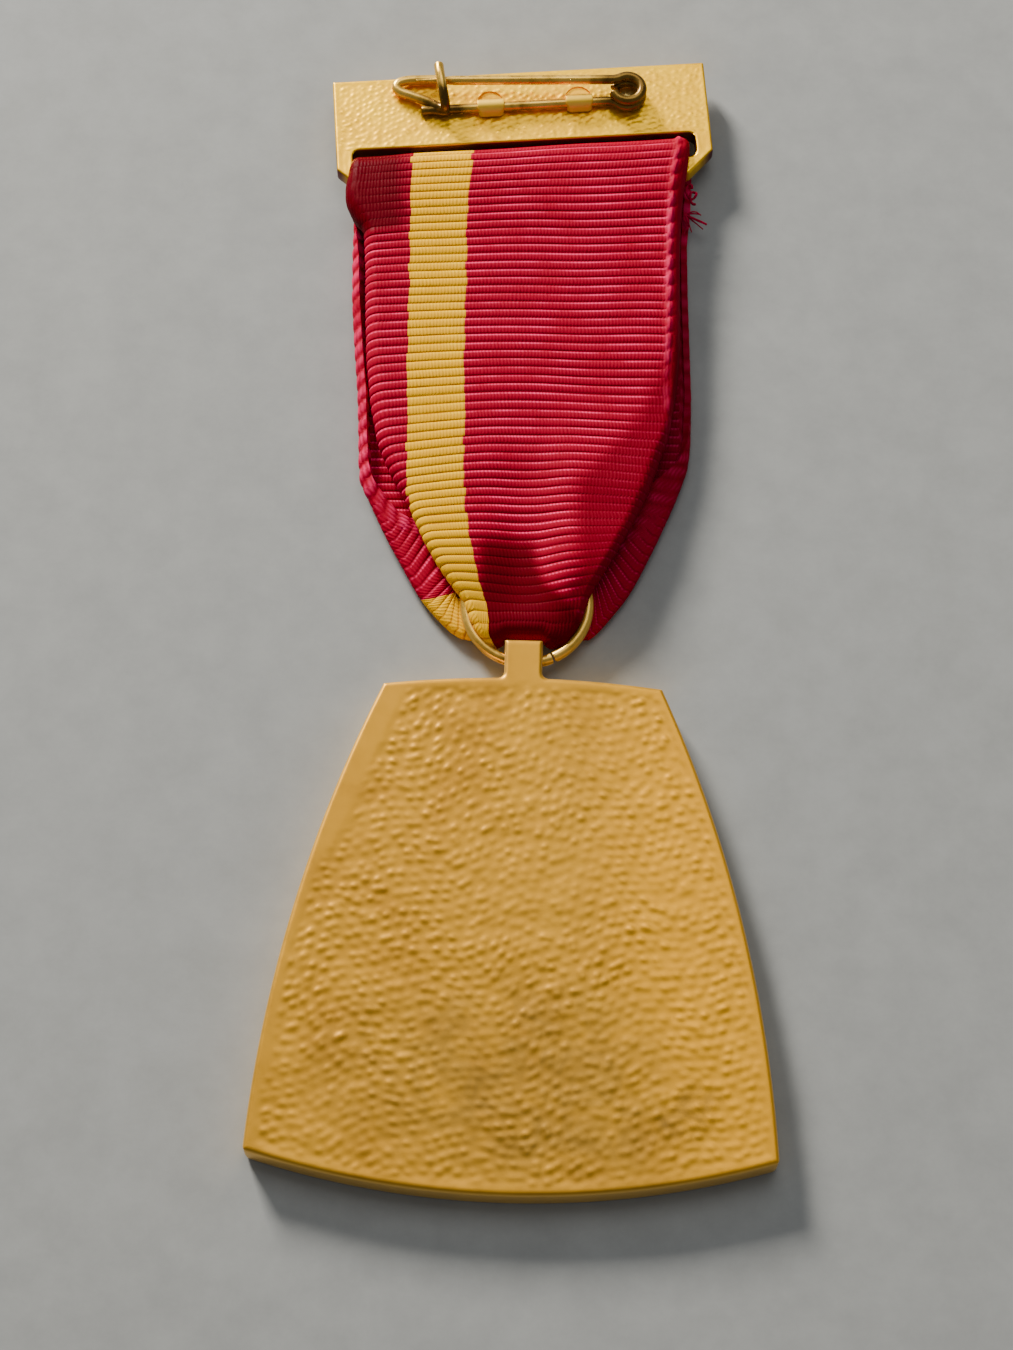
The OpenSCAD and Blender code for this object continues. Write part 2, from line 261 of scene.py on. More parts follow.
def patches(mat, vector, scale, detail=3.0, rough=.55, stretch=0.0):
    return nodeIn(mat, "TexNoise", Vector=vector, Scale=scale, Detail=detail, Roughness=rough,
                  Distortion=stretch).outputs[0]


def place(mat, scale=(1, 1, 1), at=(0, 0, 0), turn=0.0):
    # Object coordinates in millimetres, moved, turned and scaled
    coords = nodeIn(mat, "TexCoord").outputs["Object"]
    made = nodeIn(mat, "Mapping", {"vector_type": "TEXTURE"}, Vector=coords,
                  Location=[a * mm for a in at], Rotation=(0, 0, math.radians(turn)),
                  Scale=[mm / s for s in scale])
    return made.outputs[0]


def carried(mat, name):
    return nodeIn(mat, "Attribute", {"attribute_name": name}).outputs["Fac"]


def shaded(mat, **inputs):
    # the last two nodes of a finish
    nodeIn(mat, "OutputMaterial", Surface=nodeIn(mat, "BsdfPrincipled", **inputs).outputs[0])
    return mat


giltLook = {
    "plate": {"light": (.56, .275, .012), "base": (.50, .24, .01), "deep": (.42, .195, .008),
              "rough": (.38, .50), "metal": .75, "grain": 9, "patch": .13},
    "bar": {"light": (1.0, .58, .0), "base": (.98, .535, .0), "deep": (.86, .44, .0),
            "rough": (.34, .46), "metal": .75, "grain": 11, "patch": .2},
    "prong": {"light": (.97, .60, .03), "base": (.92, .55, .02), "deep": (.78, .44, .01),
              "rough": (.46, .58), "metal": .35, "grain": 11, "patch": .3},
    "wire": {"light": (.95, .58, .10), "base": (.74, .43, .06), "deep": (.36, .195, .02),
             "rough": (.22, .38), "metal": .85, "grain": 8, "patch": .35},
    "ring": {"light": (.84, .51, .09), "base": (.66, .38, .05), "deep": (.32, .17, .02),
             "rough": (.28, .44), "metal": .8, "grain": 8, "patch": .3},
}
gilt = {"bands": (.34, .47, .66), "speckEvery": 1.7, "speckWide": .07, "speckMuch": .5, "grainDeep": .004}


def giltFinish(name, kind, stainsAndPaintedLight=()):
    # three golds in wide and cloudy patches, stained spots and painted light or shade, specks and a fine satin
    # grain
    mat, look = newFinish(name), giltLook[kind]
    where = place(mat)
    cloudy = patches(mat, where, look["patch"] * 6, 3.0, .6)
    golds = list(zip(gilt["bands"], (look["deep"], look["base"], look["light"])))
    colour = ramp(mat, patches(mat, where, look["patch"], 4.0, .6, .4), golds)
    colour = mix(mat, ranged(mat, cloudy, .4, .75, 0.0, .45), colour, look["light"])
    for stainAndPaintedLight in stainsAndPaintedLight:       # noise tears its rim
        reach = [1 / k for k in (*stainAndPaintedLight["size"], 100)[:3]]
        spot = nodeIn(mat, "TexGradient", {"gradient_type": "SPHERICAL"},
                      Vector=place(mat, reach, stainAndPaintedLight["at"], stainAndPaintedLight.get("turn", 0))).outputs[1]
        torn = ranged(mat, patches(mat, where, .32, 5.0, .65, .8), *stainAndPaintedLight.get("torn", (.42, .6)),
                      stainAndPaintedLight.get("least", 0.0), 1.0)
        much = times(mat, ranged(mat, spot, .0, .45, 0.0, stainAndPaintedLight["much"]), torn)
        if stainAndPaintedLight.get("walls"):      # only on upright faces
            upright = nodeIn(mat, "SeparateXYZ", n0=nodeIn(mat, "NewGeometry").outputs["Normal"]).outputs[2]
            much = times(mat, much, ranged(mat, maths(mat, "ABSOLUTE", upright), .35, .9, 1.0, 0.0))
        colour = mix(mat, much, colour, stainAndPaintedLight["colour"])
    fine = patches(mat, where, look["grain"], 4.0, .6)
    speck = nodeIn(mat, "TexVoronoi", Vector=where, Scale=gilt["speckEvery"]).outputs[0]
    colour = mix(mat, ranged(mat, speck, .0, gilt["speckWide"], gilt["speckMuch"], 0.0), colour, look["deep"])
    rubbedAndLit = plus(mat, times(mat, cloudy, .6), times(mat, fine, .4))
    bump = nodeIn(mat, "Bump", Strength=.5, Distance=gilt["grainDeep"] * mm, Height=fine).outputs[0]
    return shaded(mat, Base_Color=colour, Metallic=look["metal"],
                  Roughness=ranged(mat, rubbedAndLit, .35, .65, *look["rough"]), Normal=bump)


# view, light and table
studio = {
    "eye": (.00114, -.10405, .2165), "target": (-.00138, -.00769, 0), "lens": 77.0, "sensor": 36,
    "keyFrom": (-.325, .566, .27), "keySize": .16, "keyPower": 13.2, "keyTint": (1, .95, .87),
    "fillFrom": (.1, .42, .85), "fillSize": .6, "fillPower": 2.4, "fillTint": (1, .98, .94),
    "sky": (.86, .91, .97), "skyPower": .25, "table": (.285, .292, .285), "tableSize": 4, "tableZ": -.00002,
}


def aim(obj, source, target=(0, 0, 0)):
    obj.location = source
    obj.rotation_mode = "QUATERNION"
    obj.rotation_quaternion = (Vector(target) - Vector(source)).to_track_quat("-Z", "Y")
    bpy.context.scene.collection.objects.link(obj)


def softLight(name, kind):
    lamp = bpy.data.lights.new(name, "AREA")
    lamp.size, lamp.energy, lamp.color = (studio[kind + part] for part in ("Size", "Power", "Tint"))
    aim(bpy.data.objects.new(name, lamp), studio[kind + "From"])


camera = bpy.data.objects.new("View", bpy.data.cameras.new("View"))
camera.data.lens, camera.data.sensor_width = studio["lens"], studio["sensor"]
camera.data.clip_start, camera.data.clip_end = .01, 10
aim(camera, studio["eye"], studio["target"])
bpy.context.scene.camera = camera
softLight("Window", "key")
softLight("Bounce", "fill")
world = bpy.data.worlds.new("Studio")
world.use_nodes = True
sky = world.node_tree.nodes["Background"]
sky.inputs[0].default_value, sky.inputs[1].default_value = (*studio["sky"], 1), studio["skyPower"]
bpy.context.scene.world = world

clearSelection()
bpy.ops.mesh.primitive_plane_add(size=studio["tableSize"], location=(0, 0, studio["tableZ"]))
table = bpy.context.object
table.name = "Table"
stone = newFinish("paleStone")
mottle = patches(stone, place(stone), .22, 6.0, .7)
tones = [(spot, tuple(share * c for c in studio["table"])) for spot, share in ((.35, .93), (.65, 1.06))]
table.data.materials.append(shaded(stone, Base_Color=ramp(stone, mottle, tones), Roughness=.8))
print("view, light and table ready")


# plate
plateShape = {
    "footHalf": 20.35, "topHalf": 11.3, "footY": .4, "topY": 39.3, "middleY": 18,
    "sideBulge": 1.75, "topRise": .75, "footDrop": 3.05, "thick": 2.5,
    "tabHalf": 1.55, "tabRoot": 34, "tabFrom": 39.6, "tabFoot": 40.04, "tabTop": 43.4, "fillet": .6,
    "tabRows": (.9, 1.2, 1.5, 1.8, 2.1, 2.4, 2.7, 2.95, 3.12, 3.22, 3.3),
    "boreY": 41.9, "boreRadius": .75, "edgeRound": .34, "cornerRound": .55,
    "walls": ((-.95, 0), (-.95, 0), (-.16, .06), (-.1, .16)), "ledge": .14,
    "rim": 1.6, "rimPoints": 144, "fieldDepth": .4, "fieldShare": .992,
    "columns": 262, "rows": 272, "margins": (0, .0015, .004, .0075, .012),
    "pebble": (1.0, .82), "pebbleHigh": .083, "pebbleMean": .75, "rowTurn": 17, "seed": 21,
    "swell": .05, "swellMean": .35, "noises": ((.16, 3.1), (.42, 8.4)),
    "marksIn": (.35, 1.2), "marksTop": (39.9, 38.2), "marksLeft": (.5, 1.9),
}
# from the frame's origin: a painted dark reflection low on the back, a painted gleam of reflection over the right
# side, brighter and more orange, a spot at the lower right, and painted light thrown up from the table on all of
# the walls
plateStainsAndPaintedLight = [
    {"at": (.8, -42.6, 2.5), "size": (19, 9.5), "turn": -4, "much": .62, "colour": (.22, .125, .022),
     "torn": (.3, .7)},
    {"at": (18.5, -30, 2.5), "size": (13, 34), "turn": 9, "much": .75, "colour": (.72, .335, .004), "least": 1},
    {"at": (13.4, -45, 2.5), "size": (3.6, 2.6), "turn": 40, "much": .6, "colour": (.16, .09, .02),
     "torn": (.36, .68)},
    {"at": (0, 0, 0), "size": (200, 200), "much": 1, "colour": (.90, .55, .13), "least": 1, "walls": True},
]


def arcRadius(halfChord, rise):
    return (halfChord ** 2 + rise ** 2) / (2 * rise)


def plateArcs(p):
    # centre x, centre y and radius of the four edges: right, left, top, foot
    foot, top = Vector((p["footHalf"], p["footY"])), Vector((p["topHalf"], p["topY"]))
    chord = (top - foot).length
    out = Vector((top.y - foot.y, foot.x - top.x)) / chord
    r = arcRadius(chord / 2, p["sideBulge"])
    mid = (foot + top) / 2 - out * (r - p["sideBulge"])
    rTop, rFoot = arcRadius(p["topHalf"], p["topRise"]), arcRadius(p["footHalf"], p["footDrop"])
    return [(mid.x, mid.y, r), (-mid.x, mid.y, r), (0, p["topY"] + p["topRise"] - rTop, rTop),
            (0, p["footY"] - p["footDrop"] + rFoot, rFoot)]


edgeArcs = plateArcs(plateShape)


def depthInPlate(x, y):
    # how far a point lies inside the outline of plate and tab, softened where the two meet
    p = plateShape
    inPlate = np.min([r - np.hypot(x - cx, y - cy) for cx, cy, r in edgeArcs], axis=0)
    inTab = np.minimum(np.minimum(p["tabHalf"] - np.abs(x), p["tabTop"] - y), y - p["tabRoot"])
    near = np.maximum(p["fillet"] - np.abs(inPlate - inTab), 0) / p["fillet"]
    return np.maximum(inPlate, inTab) + near * near * p["fillet"] / 4


def inwardStep(x, y, step):
    gx = depthInPlate(x + .01, y) - depthInPlate(x - .01, y)
    gy = depthInPlate(x, y + .01) - depthInPlate(x, y - .01)
    size = math.hypot(gx, gy) or 1
    return x + step * gx / size, y + step * gy / size


def roundedCorner(x, y, corner, n1, n2, r):
    # draws the points of a corner in along rays from the middle of its rounding
    both = n1 + n2
    k = r / (1 + n1.dot(n2))
    ox, oy = corner.x - both.x * k, corner.y - both.y * k
    vx, vy = x - ox, y - oy
    size = np.maximum(np.hypot(vx, vy), 1e-9)
    ux, uy = vx / size, vy / size
    turn = n1.x * n2.y - n1.y * n2.x
    between = ((n1.x * uy - n1.y * ux) * turn > 0) & ((ux * n2.y - uy * n2.x) * turn > 0)
    between &= ux * both.x + uy * both.y > 0
    share = np.where(between, np.maximum(ux * n1.x + uy * n1.y, ux * n2.x + uy * n2.y), 1)
    return ox + vx * share, oy + vy * share


def edgeNormal(index, x, y):
    cx, cy, r = edgeArcs[index]
    return Vector((x - cx, y - cy)).normalized()


def roundedEdge(depth, r):
    # how far the face sinks towards its edge
    return np.sqrt(r * r - np.clip(r - depth, 0, r) ** 2) - r


def hammered(x, y, shape):
    # the height, 0 to about 1, of small domes in staggered rows, each a little out of its place
    u, v = (k / size for k, size in zip(spun(x, y, -shape["rowTurn"]), shape["pebble"]))
    v = v + .5 * np.sin(u * .31 + 1) + .25 * np.sin(u * .83)
    out = np.random.default_rng(shape["seed"]).uniform(-1, 1, (97, 89, 4))
    height = np.zeros_like(u)
    for rowStep in (-1, 0, 1, 2):
        for colStep in (-1, 0, 1, 2):
            row, col = (np.floor(v) + rowStep).astype(int), (np.floor(u) + colStep).astype(int)
            off = out[col % 97, row % 89]
            du = u - col + .5 * (row % 2) - .3 * off[:, 0]
            dv = v - row - .24 * off[:, 1]
            height += (.8 + .35 * off[:, 2]) * np.exp(-(du * du + dv * dv) / (.36 + .06 * off[:, 3]) ** 2)
    return height


def makePlate():
    p = plateShape
    foot = p["tabHalf"] + p["fillet"]
    across, up = stops(1, p["columns"], p["margins"]), stops(1, p["rows"], p["margins"])
    for side in (-1, 1):        # two columns run exactly into the foot of the tab
        share = .5 + side * foot / (2 * p["topHalf"])
        across[np.argmin(np.abs(across - share))] = share
    obj, column, row = gridOf(p["columns"], p["rows"])
    c, w = 2 * across[column] - 1, up[row]

    def arcY(index, x, side):
        cx, cy, r = edgeArcs[index]
        return cy + side * np.sqrt(r * r - (x - cx) ** 2)

    sideX, sideY, sideRadius = edgeArcs[0]
    x = c * (sideX + np.sqrt(sideRadius ** 2 - (p["footY"] + w * (p["topY"] - p["footY"]) - sideY) ** 2))
    y = (1 - w) * arcY(3, c * p["footHalf"], -1) + w * arcY(2, c * p["topHalf"], 1)
    for side, sideArc in ((1, 0), (-1, 1)):
        for index, half, cornerY in ((3, p["footHalf"], p["footY"]), (2, p["topHalf"], p["topY"])):
            spot = Vector((side * half, cornerY))
            normals = edgeNormal(sideArc, *spot), edgeNormal(index, *spot)
            x, y = roundedCorner(x, y, spot, *normals, p["cornerRound"])
    putPoints(obj, x, y, p["thick"])

    # the tab grows out of the top edge, narrowing along its two fillets
    startEdit(obj)
    selectWhere(obj, "edges", lambda e: e.is_boundary and all(
        v.co.y > p["tabFrom"] and abs(v.co.x) < foot + 1e-4 for v in e.verts))
    half, y0 = foot, 0
    for k in range(1, 7):
        rise = p["fillet"] * (1 - math.cos(math.radians(15 * k)))
        wide = foot - math.sqrt(max(p["fillet"] ** 2 - (p["fillet"] - rise) ** 2, 0))
        pullOut(0, rise - y0, 0)
        bpy.ops.transform.resize(value=(wide / half, 1, 1), center_override=(0, 0, 0))
        half, y0 = wide, rise
    for rise in (*p["tabRows"], p["tabTop"] - p["tabFoot"]):
        pullOut(0, rise - y0, 0)
        y0 = rise
    moveSelected(obj, lambda q: Vector((q.x, p["tabTop"], q.z)))
    endEdit()

    x, y, z = pointsOf(obj).T
    depth = depthInPlate(x, y)
    putPoints(obj, x, y, z + roundedEdge(depth, p["edgeRound"]))

    # hammer marks, faded out at the edges, on the tab and on a band along the left side
    patchy, swell = (np.array([noise.noise((a * k, b * k, level)) for a, b in zip(x, y)])
                     for k, level in p["noises"])
    cx, cy, r = edgeArcs[1]
    fromLeft = r - np.hypot(x - cx, y - cy) - 1.5 * smoothStep(y, p["middleY"], 36) + 1.3 * patchy
    inner = smoothStep(depth, *p["marksIn"]) * smoothStep(y, *p["marksTop"])
    inner *= smoothStep(fromLeft, *p["marksLeft"])
    marks = p["pebbleHigh"] * (hammered(x, y, p) * (1 + .6 * patchy) - p["pebbleMean"])
    putPoints(obj, x, y, pointsOf(obj)[:, 2] + inner * (marks + p["swell"] * (swell - p["swellMean"])))

    # walls and the plain hidden front with its sunk field
    startEdit(obj)
    selectWhere(obj, "edges", lambda e: e.is_boundary)
    for drop, step in p["walls"]:
        pullOut(0, 0, drop)
        moveSelected(obj, lambda q: Vector((*inwardStep(q.x, q.y, step), q.z)))
    moveSelected(obj, lambda q: Vector((q.x, q.y, 0)))
    pullOut(0, 0, 0)
    moveSelected(obj, lambda q: Vector((*inwardStep(q.x, q.y, p["ledge"]), 0)))
    endEdit()
    clearSelection()
    middle = (0, p["middleY"], 0)
    bpy.ops.mesh.primitive_circle_add(vertices=p["rimPoints"], radius=10, location=middle)
    rim = bpy.context.object
    for v in rim.data.vertices:     # the circle is drawn out to the inset outline
        ray = v.co.xy.normalized()
        low, high = 0, 40
        for _ in range(40):
            t = (low + high) / 2
            qx, qy = ray.x * t, p["middleY"] + ray.y * t
            inside = min(r - math.hypot(qx - cx, qy - cy) for cx, cy, r in edgeArcs) > p["rim"]
            low, high = (t, high) if inside else (low, t)
        v.co = (ray.x * low, ray.y * low, 0)
    settle()
    joinTo(obj, rim)

    def onFront(edge):
        return all(abs(v.co.z) < 1e-5 for v in edge.verts)

    startEdit(obj)
    selectWhere(obj, "edges", lambda e: (e.is_boundary or e.is_wire) and onFront(e))
    bpy.ops.mesh.fill(use_beauty=True)
    bpy.ops.mesh.select_all(action="DESELECT")
    selectWhere(obj, "edges", lambda e: e.is_boundary and onFront(e))
    pullOut(0, 0, p["fieldDepth"])
    bpy.ops.transform.resize(value=(p["fieldShare"], p["fieldShare"], 1), center_override=middle)
    bpy.ops.mesh.edge_face_add()
    endEdit()

    clearSelection()
    bpy.ops.mesh.primitive_cylinder_add(vertices=40, radius=p["boreRadius"], depth=6,
                                        location=(0, p["boreY"], p["thick"] / 2),
                                        rotation=(0, math.radians(90), 0))
    drill = bpy.context.object
    outwards(obj)
    combine(obj, drill)
    layDown(obj, "Plate", "medal", giltFinish("satinGiltPlate", "plate", plateStainsAndPaintedLight), 42)
    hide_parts("medal_plate")


makePlate()
print("plate done")


# ribbon
clothShape = {
    "pitch": .812, "fan": (48.6, 47.6), "fanCrowd": 1.75, "coreHalf": .235, "ribHigh": .1, "ribPower": .45,
    "wide": 28.6, "ends": (.3, 28.1), "stripe": (5.7, 10.6), "selvedge": (1.35, 1.0),
    "chainHigh": .24, "chainEvery": 1.5, "nubHigh": .36, "nubbedFrom": 14,
    "slotY": -3.72, "slotZ": 1.85, "slotRadius": 1.45, "slotHalf": 14.65, "slotX": -.23,
    "ringY": 44.9, "ringZ": 1.36, "ringRadius": .98, "sag": .6, "doming": .16,
    "frontSteps": (0, .22, .5, .78), "backSteps": (0, .07, .2, .35, .5, .65, .8, .93), "coarse": (60, 84),
    "tailColumns": 6, "rollColumns": 6, "flatColumns": 32, "fineCount": 2400, "blur": .42, "blurReach": 60,
    "nearLeft": (0, .35, .9), "nearRight": (1.3, .95, .72, .54, .38, .24, .1, 0),
    "cut": (.030, .0965),
}

# y at x 0, left edge, right edge, height, slope, bow left, bow right, lift right,
# left roll: radius, angle, tail, lean; right roll: the same; cloth place at the left and right fold
frontRows = [
    (45.3, -5.0, 5.2, .34, 0, -1.1, -1.0, 0, .26, 178, 3.2, 105, .26, 178, 3.0, 100, 9.9, 19.0),
    (45.8, -5.75, 5.8, .34, 0, -1.1, -.8, 0, .27, 178, 2.8, 95, .26, 178, 3.6, 92, 9.6, 20.0),
    (46.3, -6.45, 6.4, .34, 0, -.9, -.5, 0, .28, 178, 2.3, 80, .28, 178, 4.4, 82, 9.2, 20.8),
    (46.8, -7.1, 6.95, .34, 0, -.7, -.35, 0, .29, 178, 1.9, 60, .30, 178, 4.8, 74, 8.6, 21.4),
    (47.4, -7.8, 7.45, .35, 0, -.5, -.2, 0, .30, 178, 1.9, 38, .32, 178, 5.0, 68, 7.9, 22.2),
    (48.1, -8.5, 8.05, .35, 0, -.3, -.1, 0, .31, 178, 3.2, 48, .32, 178, 5.2, 62, 5.7, 23.0),
    (49.2, -9.25, 8.7, .35, 0, -.1, 0, 0, .32, 178, 3.9, 56, .34, 178, 4.9, 56, 5.4, 23.6),
    (50.4, -9.95, 9.3, .36, 0, 0, 0, 0, .34, 178, 4.0, 60, .36, 178, 4.5, 50, 5.1, 24.2),
    (52.2, -10.95, 10.1, .36, 0, 0, 0, 0, .37, 178, 2.7, 60, .38, 178, 3.9, 48, 3.9, 24.9),
    (54.0, -11.85, 10.95, .37, .5, 0, 0, 0, .40, 178, 1.45, 57, .40, 178, 3.1, 47, 2.7, 25.6),
    (55.5, -12.55, 11.55, .37, .5, 0, 0, 0, .42, 177, .95, 52, .42, 178, 2.5, 47, 2.2, 26.2),
    (56.9, -13.15, 12.1, .37, .5, 0, 0, 0, .44, 176, .6, 45, .42, 176, 2.0, 47, 1.95, 26.8),
    (58.2, -13.7, 12.55, .37, .8, 0, 0, 0, .46, 172, .35, 25, .44, 172, 1.3, 44, 1.75, 27.2),
    (60.2, -13.95, 13.2, .37, 1, 0, 0, 0, .48, 166, .15, 0, .44, 160, .5, 30, 1.55, 27.6),
    (62.4, -14.05, 13.4, .37, 1, 0, 0, 0, .50, 164, .1, 0, .42, 130, .2, 0, 1.5, 27.7),
    (67, -14.35, 13.45, .38, 1, 0, 0, 0, .52, 162, .1, 0, .40, 95, .2, 0, 1.5, 27.8),
    (71.5, -14.8, 13.3, .38, 1.4, 0, 0, 0, .52, 160, .1, 0, .40, 90, .2, 0, 1.5, 27.8),
    (76.5, -15.25, 13.15, .40, 2.2, 0, 0, 0, .52, 158, .1, 0, .40, 90, .2, 0, 1.5, 27.8),
    (81.5, -15.45, 13.05, .42, 3.2, 0, 0, 0, .50, 150, .1, 0, .40, 80, .2, 0, 1.4, 27.8),
    (85, -15.5, 13.3, .42, 4.4, 0, 0, 0, .45, 120, .1, 0, .36, 60, .2, 0, 1.2, 27.9),
]
# the same, then the two edges of the stripe in place of the cloth places
backRows = [
    (87.6, -16.5, 12.95, 3.38, 5.0, 0, 0, 0, .85, 100, .9, 0, .5, 60, .3, 0, -10.95, -5.75),
    (86.2, -16.35, 12.75, 3.36, 4.6, 0, 0, 0, .95, 105, .9, 0, .4, 70, .3, 0, -10.9, -5.8),
    (84.7, -15.6, 12.6, 3.28, 4.1, -.1, 0, 0, .95, 95, .6, 0, .33, 75, .3, 0, -10.85, -5.9),
    (83.2, -14.5, 12.45, 3.2, 3.5, -.2, 0, 0, .7, 70, .3, 0, .3, 75, .3, 0, -10.8, -5.9),
    (79, -14.15, 12.35, 3.1, 2.3, -.3, 0, 0, .7, 66, .3, 0, .3, 75, .3, 0, -10.75, -5.85),
    (75, -14.0, 12.35, 3.02, 1.6, -.35, 0, 0, .8, 70, .3, 0, .3, 75, .3, 0, -10.65, -5.8),
    (70, -13.75, 12.35, 2.98, 1.3, -.55, -.1, 0, .95, 84, .3, 0, .3, 75, .3, 0, -10.5, -5.7),
    (66, -13.2, 12.05, 2.95, 1.1, -.85, -.2, 0, 1.0, 104, .4, 0, .35, 80, .3, 0, -10.35, -5.55),
    (62.8, -12.5, 11.5, 2.95, .9, -1.15, -.4, .1, .95, 124, .6, 0, .5, 100, .4, 0, -10.25, -5.45),
    (60, -11.35, 10.6, 2.97, .7, -1.2, -.5, .25, .85, 142, .8, 0, .75, 120, .6, 0, -10.1, -5.4),
    (57.5, -10.15, 9.85, 2.98, .6, -.9, -.5, .45, .75, 160, .9, 0, .7, 140, .8, 0, -9.95, -5.35),
    (55, -9.15, 9.0, 2.98, .5, -.6, -.1, .4, .6, 170, .9, 0, .6, 155, .8, 0, -9.4, -5.2),
    (52.5, -8.2, 8.0, 2.98, .3, -.3, .3, .6, .5, 170, .8, 0, .55, 165, .8, 0, -8.5, -4.8),
    (50.2, -7.1, 7.05, 2.9, 0, -.1, .7, .7, .45, 165, .6, 0, .5, 165, .6, 0, -7.4, -4.35),
    (48.4, -6.05, 6.2, 2.75, 0, .1, .9, .7, .4, 150, .5, 0, .45, 150, .5, 0, -6.4, -3.9),
    (46.7, -4.8, 5.1, 2.5, 0, .2, .7, .5, .35, 140, .4, 0, .4, 140, .4, 0, -5.1, -3.4),
]
# folded and turned places: limits along y and across, how much flatter, and how much darker by painted shade
clothZones = {
    "outerFold": ((59, 55), (.9, -.1), .75, 0),
    "bulge": ((82.2, 83.6), (3.6, .9), .8, .78),
    "corner": ((80.5, 83.5), (-10.6, -11.3), 0, .55),
    "turned": ((73, 70), (1.1, -.6), .8, .62),
    "hollow": ((53.2, 51), (.9, -.4), .55, .95),
    "rightFlap": ((84, 82), (.6, .8), .6, 0),
}
# values along y: the places, then the values there
alongCloth = {
    "dome": ((46, 52, 60, 84, 88), (0, .2, 1, .6, 0)),
    "turned": ((46, 49, 51, 54, 57.5, 62, 68, 72), (.5, 1.2, 2.2, 3.6, 4.6, 2.6, .6, .1)),
    "crease": ((44, 46.5, 48, 50, 53), (4.5, 3.2, 1.6, .7, .2)),
    "flapShade": ((44, 54, 60, 77, 84), (.12, .12, .4, .4, .1)),
}


def ribbonStations():
    # every station as: y and z of the middle line, face angle, left, right and the tables' other columns
    c = clothShape
    rows = [[y, z, -90, left, right, slope, *rest, 0, 0, 0] for y, left, right, z, slope, *rest in frontRows]
    half = c["slotHalf"]
    for i in range(11):
        a, k = -90 + 18 * i, i / 10
        dy, dz = spun(c["slotRadius"], 0, a)
        px, py = spun(c["slotX"], c["slotY"] + dy, barTurn)
        px, py = barAt[0] + px, barAt[1] + py
        rows.append([py - px * math.tan(math.radians(barTurn)), c["slotZ"] + dz, a,
                     px - half - .35 * k ** 2, px + half - .25 * k, barTurn + .8 * k * (1 - k), 0, 0, 0,
                     .35 + .2 * k, 60 + 20 * k, .2, 0, .35, 50, .2, 0, .9, 27.9, -10.95, -5.6, k ** .5])
    for y, left, right, z, slope, *rest in backRows:
        rows.append([y, z, 90, left, right, slope, *rest[:-2], .8, 28, *rest[-2:], 1])
    for i in range(1, 10):
        a, k = 90 + 18 * i, abs(i - 5) / 5
        dy, dz = spun(c["ringRadius"], 0, a)
        rows.append([c["ringY"] + dy, c["ringZ"] + dz, a, -3.0 - 1.35 * k ** 2, 3.35 + 1.3 * k ** 2, 0,
                     -.35, -.2, 0, .3, 110, .3, 0, .3, 110, .3, 0, 9, 20, -5.2, -3.1, 1 - i / 10])
    return np.array(rows, float)


def smoothLoop(table):
    # the stations once round, close together and evenly spaced, without corners
    closed = np.vstack([table, table[0]])
    closed[-1, 2] += 360
    step = np.hypot(np.diff(closed[:, 0]), np.diff(closed[:, 1]))
    along = np.concatenate([[0], np.cumsum(np.maximum(step, .05))])
    total, count, reach = along[-1], clothShape["fineCount"], clothShape["blurReach"]
    at = np.linspace(0, total, count, endpoint=False)
    fine = np.stack([np.interp(at, along, k) for k in closed.T], 1)
    fine[:, 2] -= at / total * 360      # the face turns once round the loop
    spread = np.arange(-reach, reach + 1) * total / count
    weight = np.exp(-(spread / clothShape["blur"]) ** 2 / 2)
    weight /= weight.sum()
    wrapped = np.concatenate([fine[-reach:], fine, fine[:reach]])
    fine = np.stack([np.convolve(k, weight, "valid") for k in wrapped.T], 1)
    fine[:, 2] += at / total * 360
    return fine


def hump(x, middle, wide):
    return np.exp(-((x - middle) / wide) ** 2)


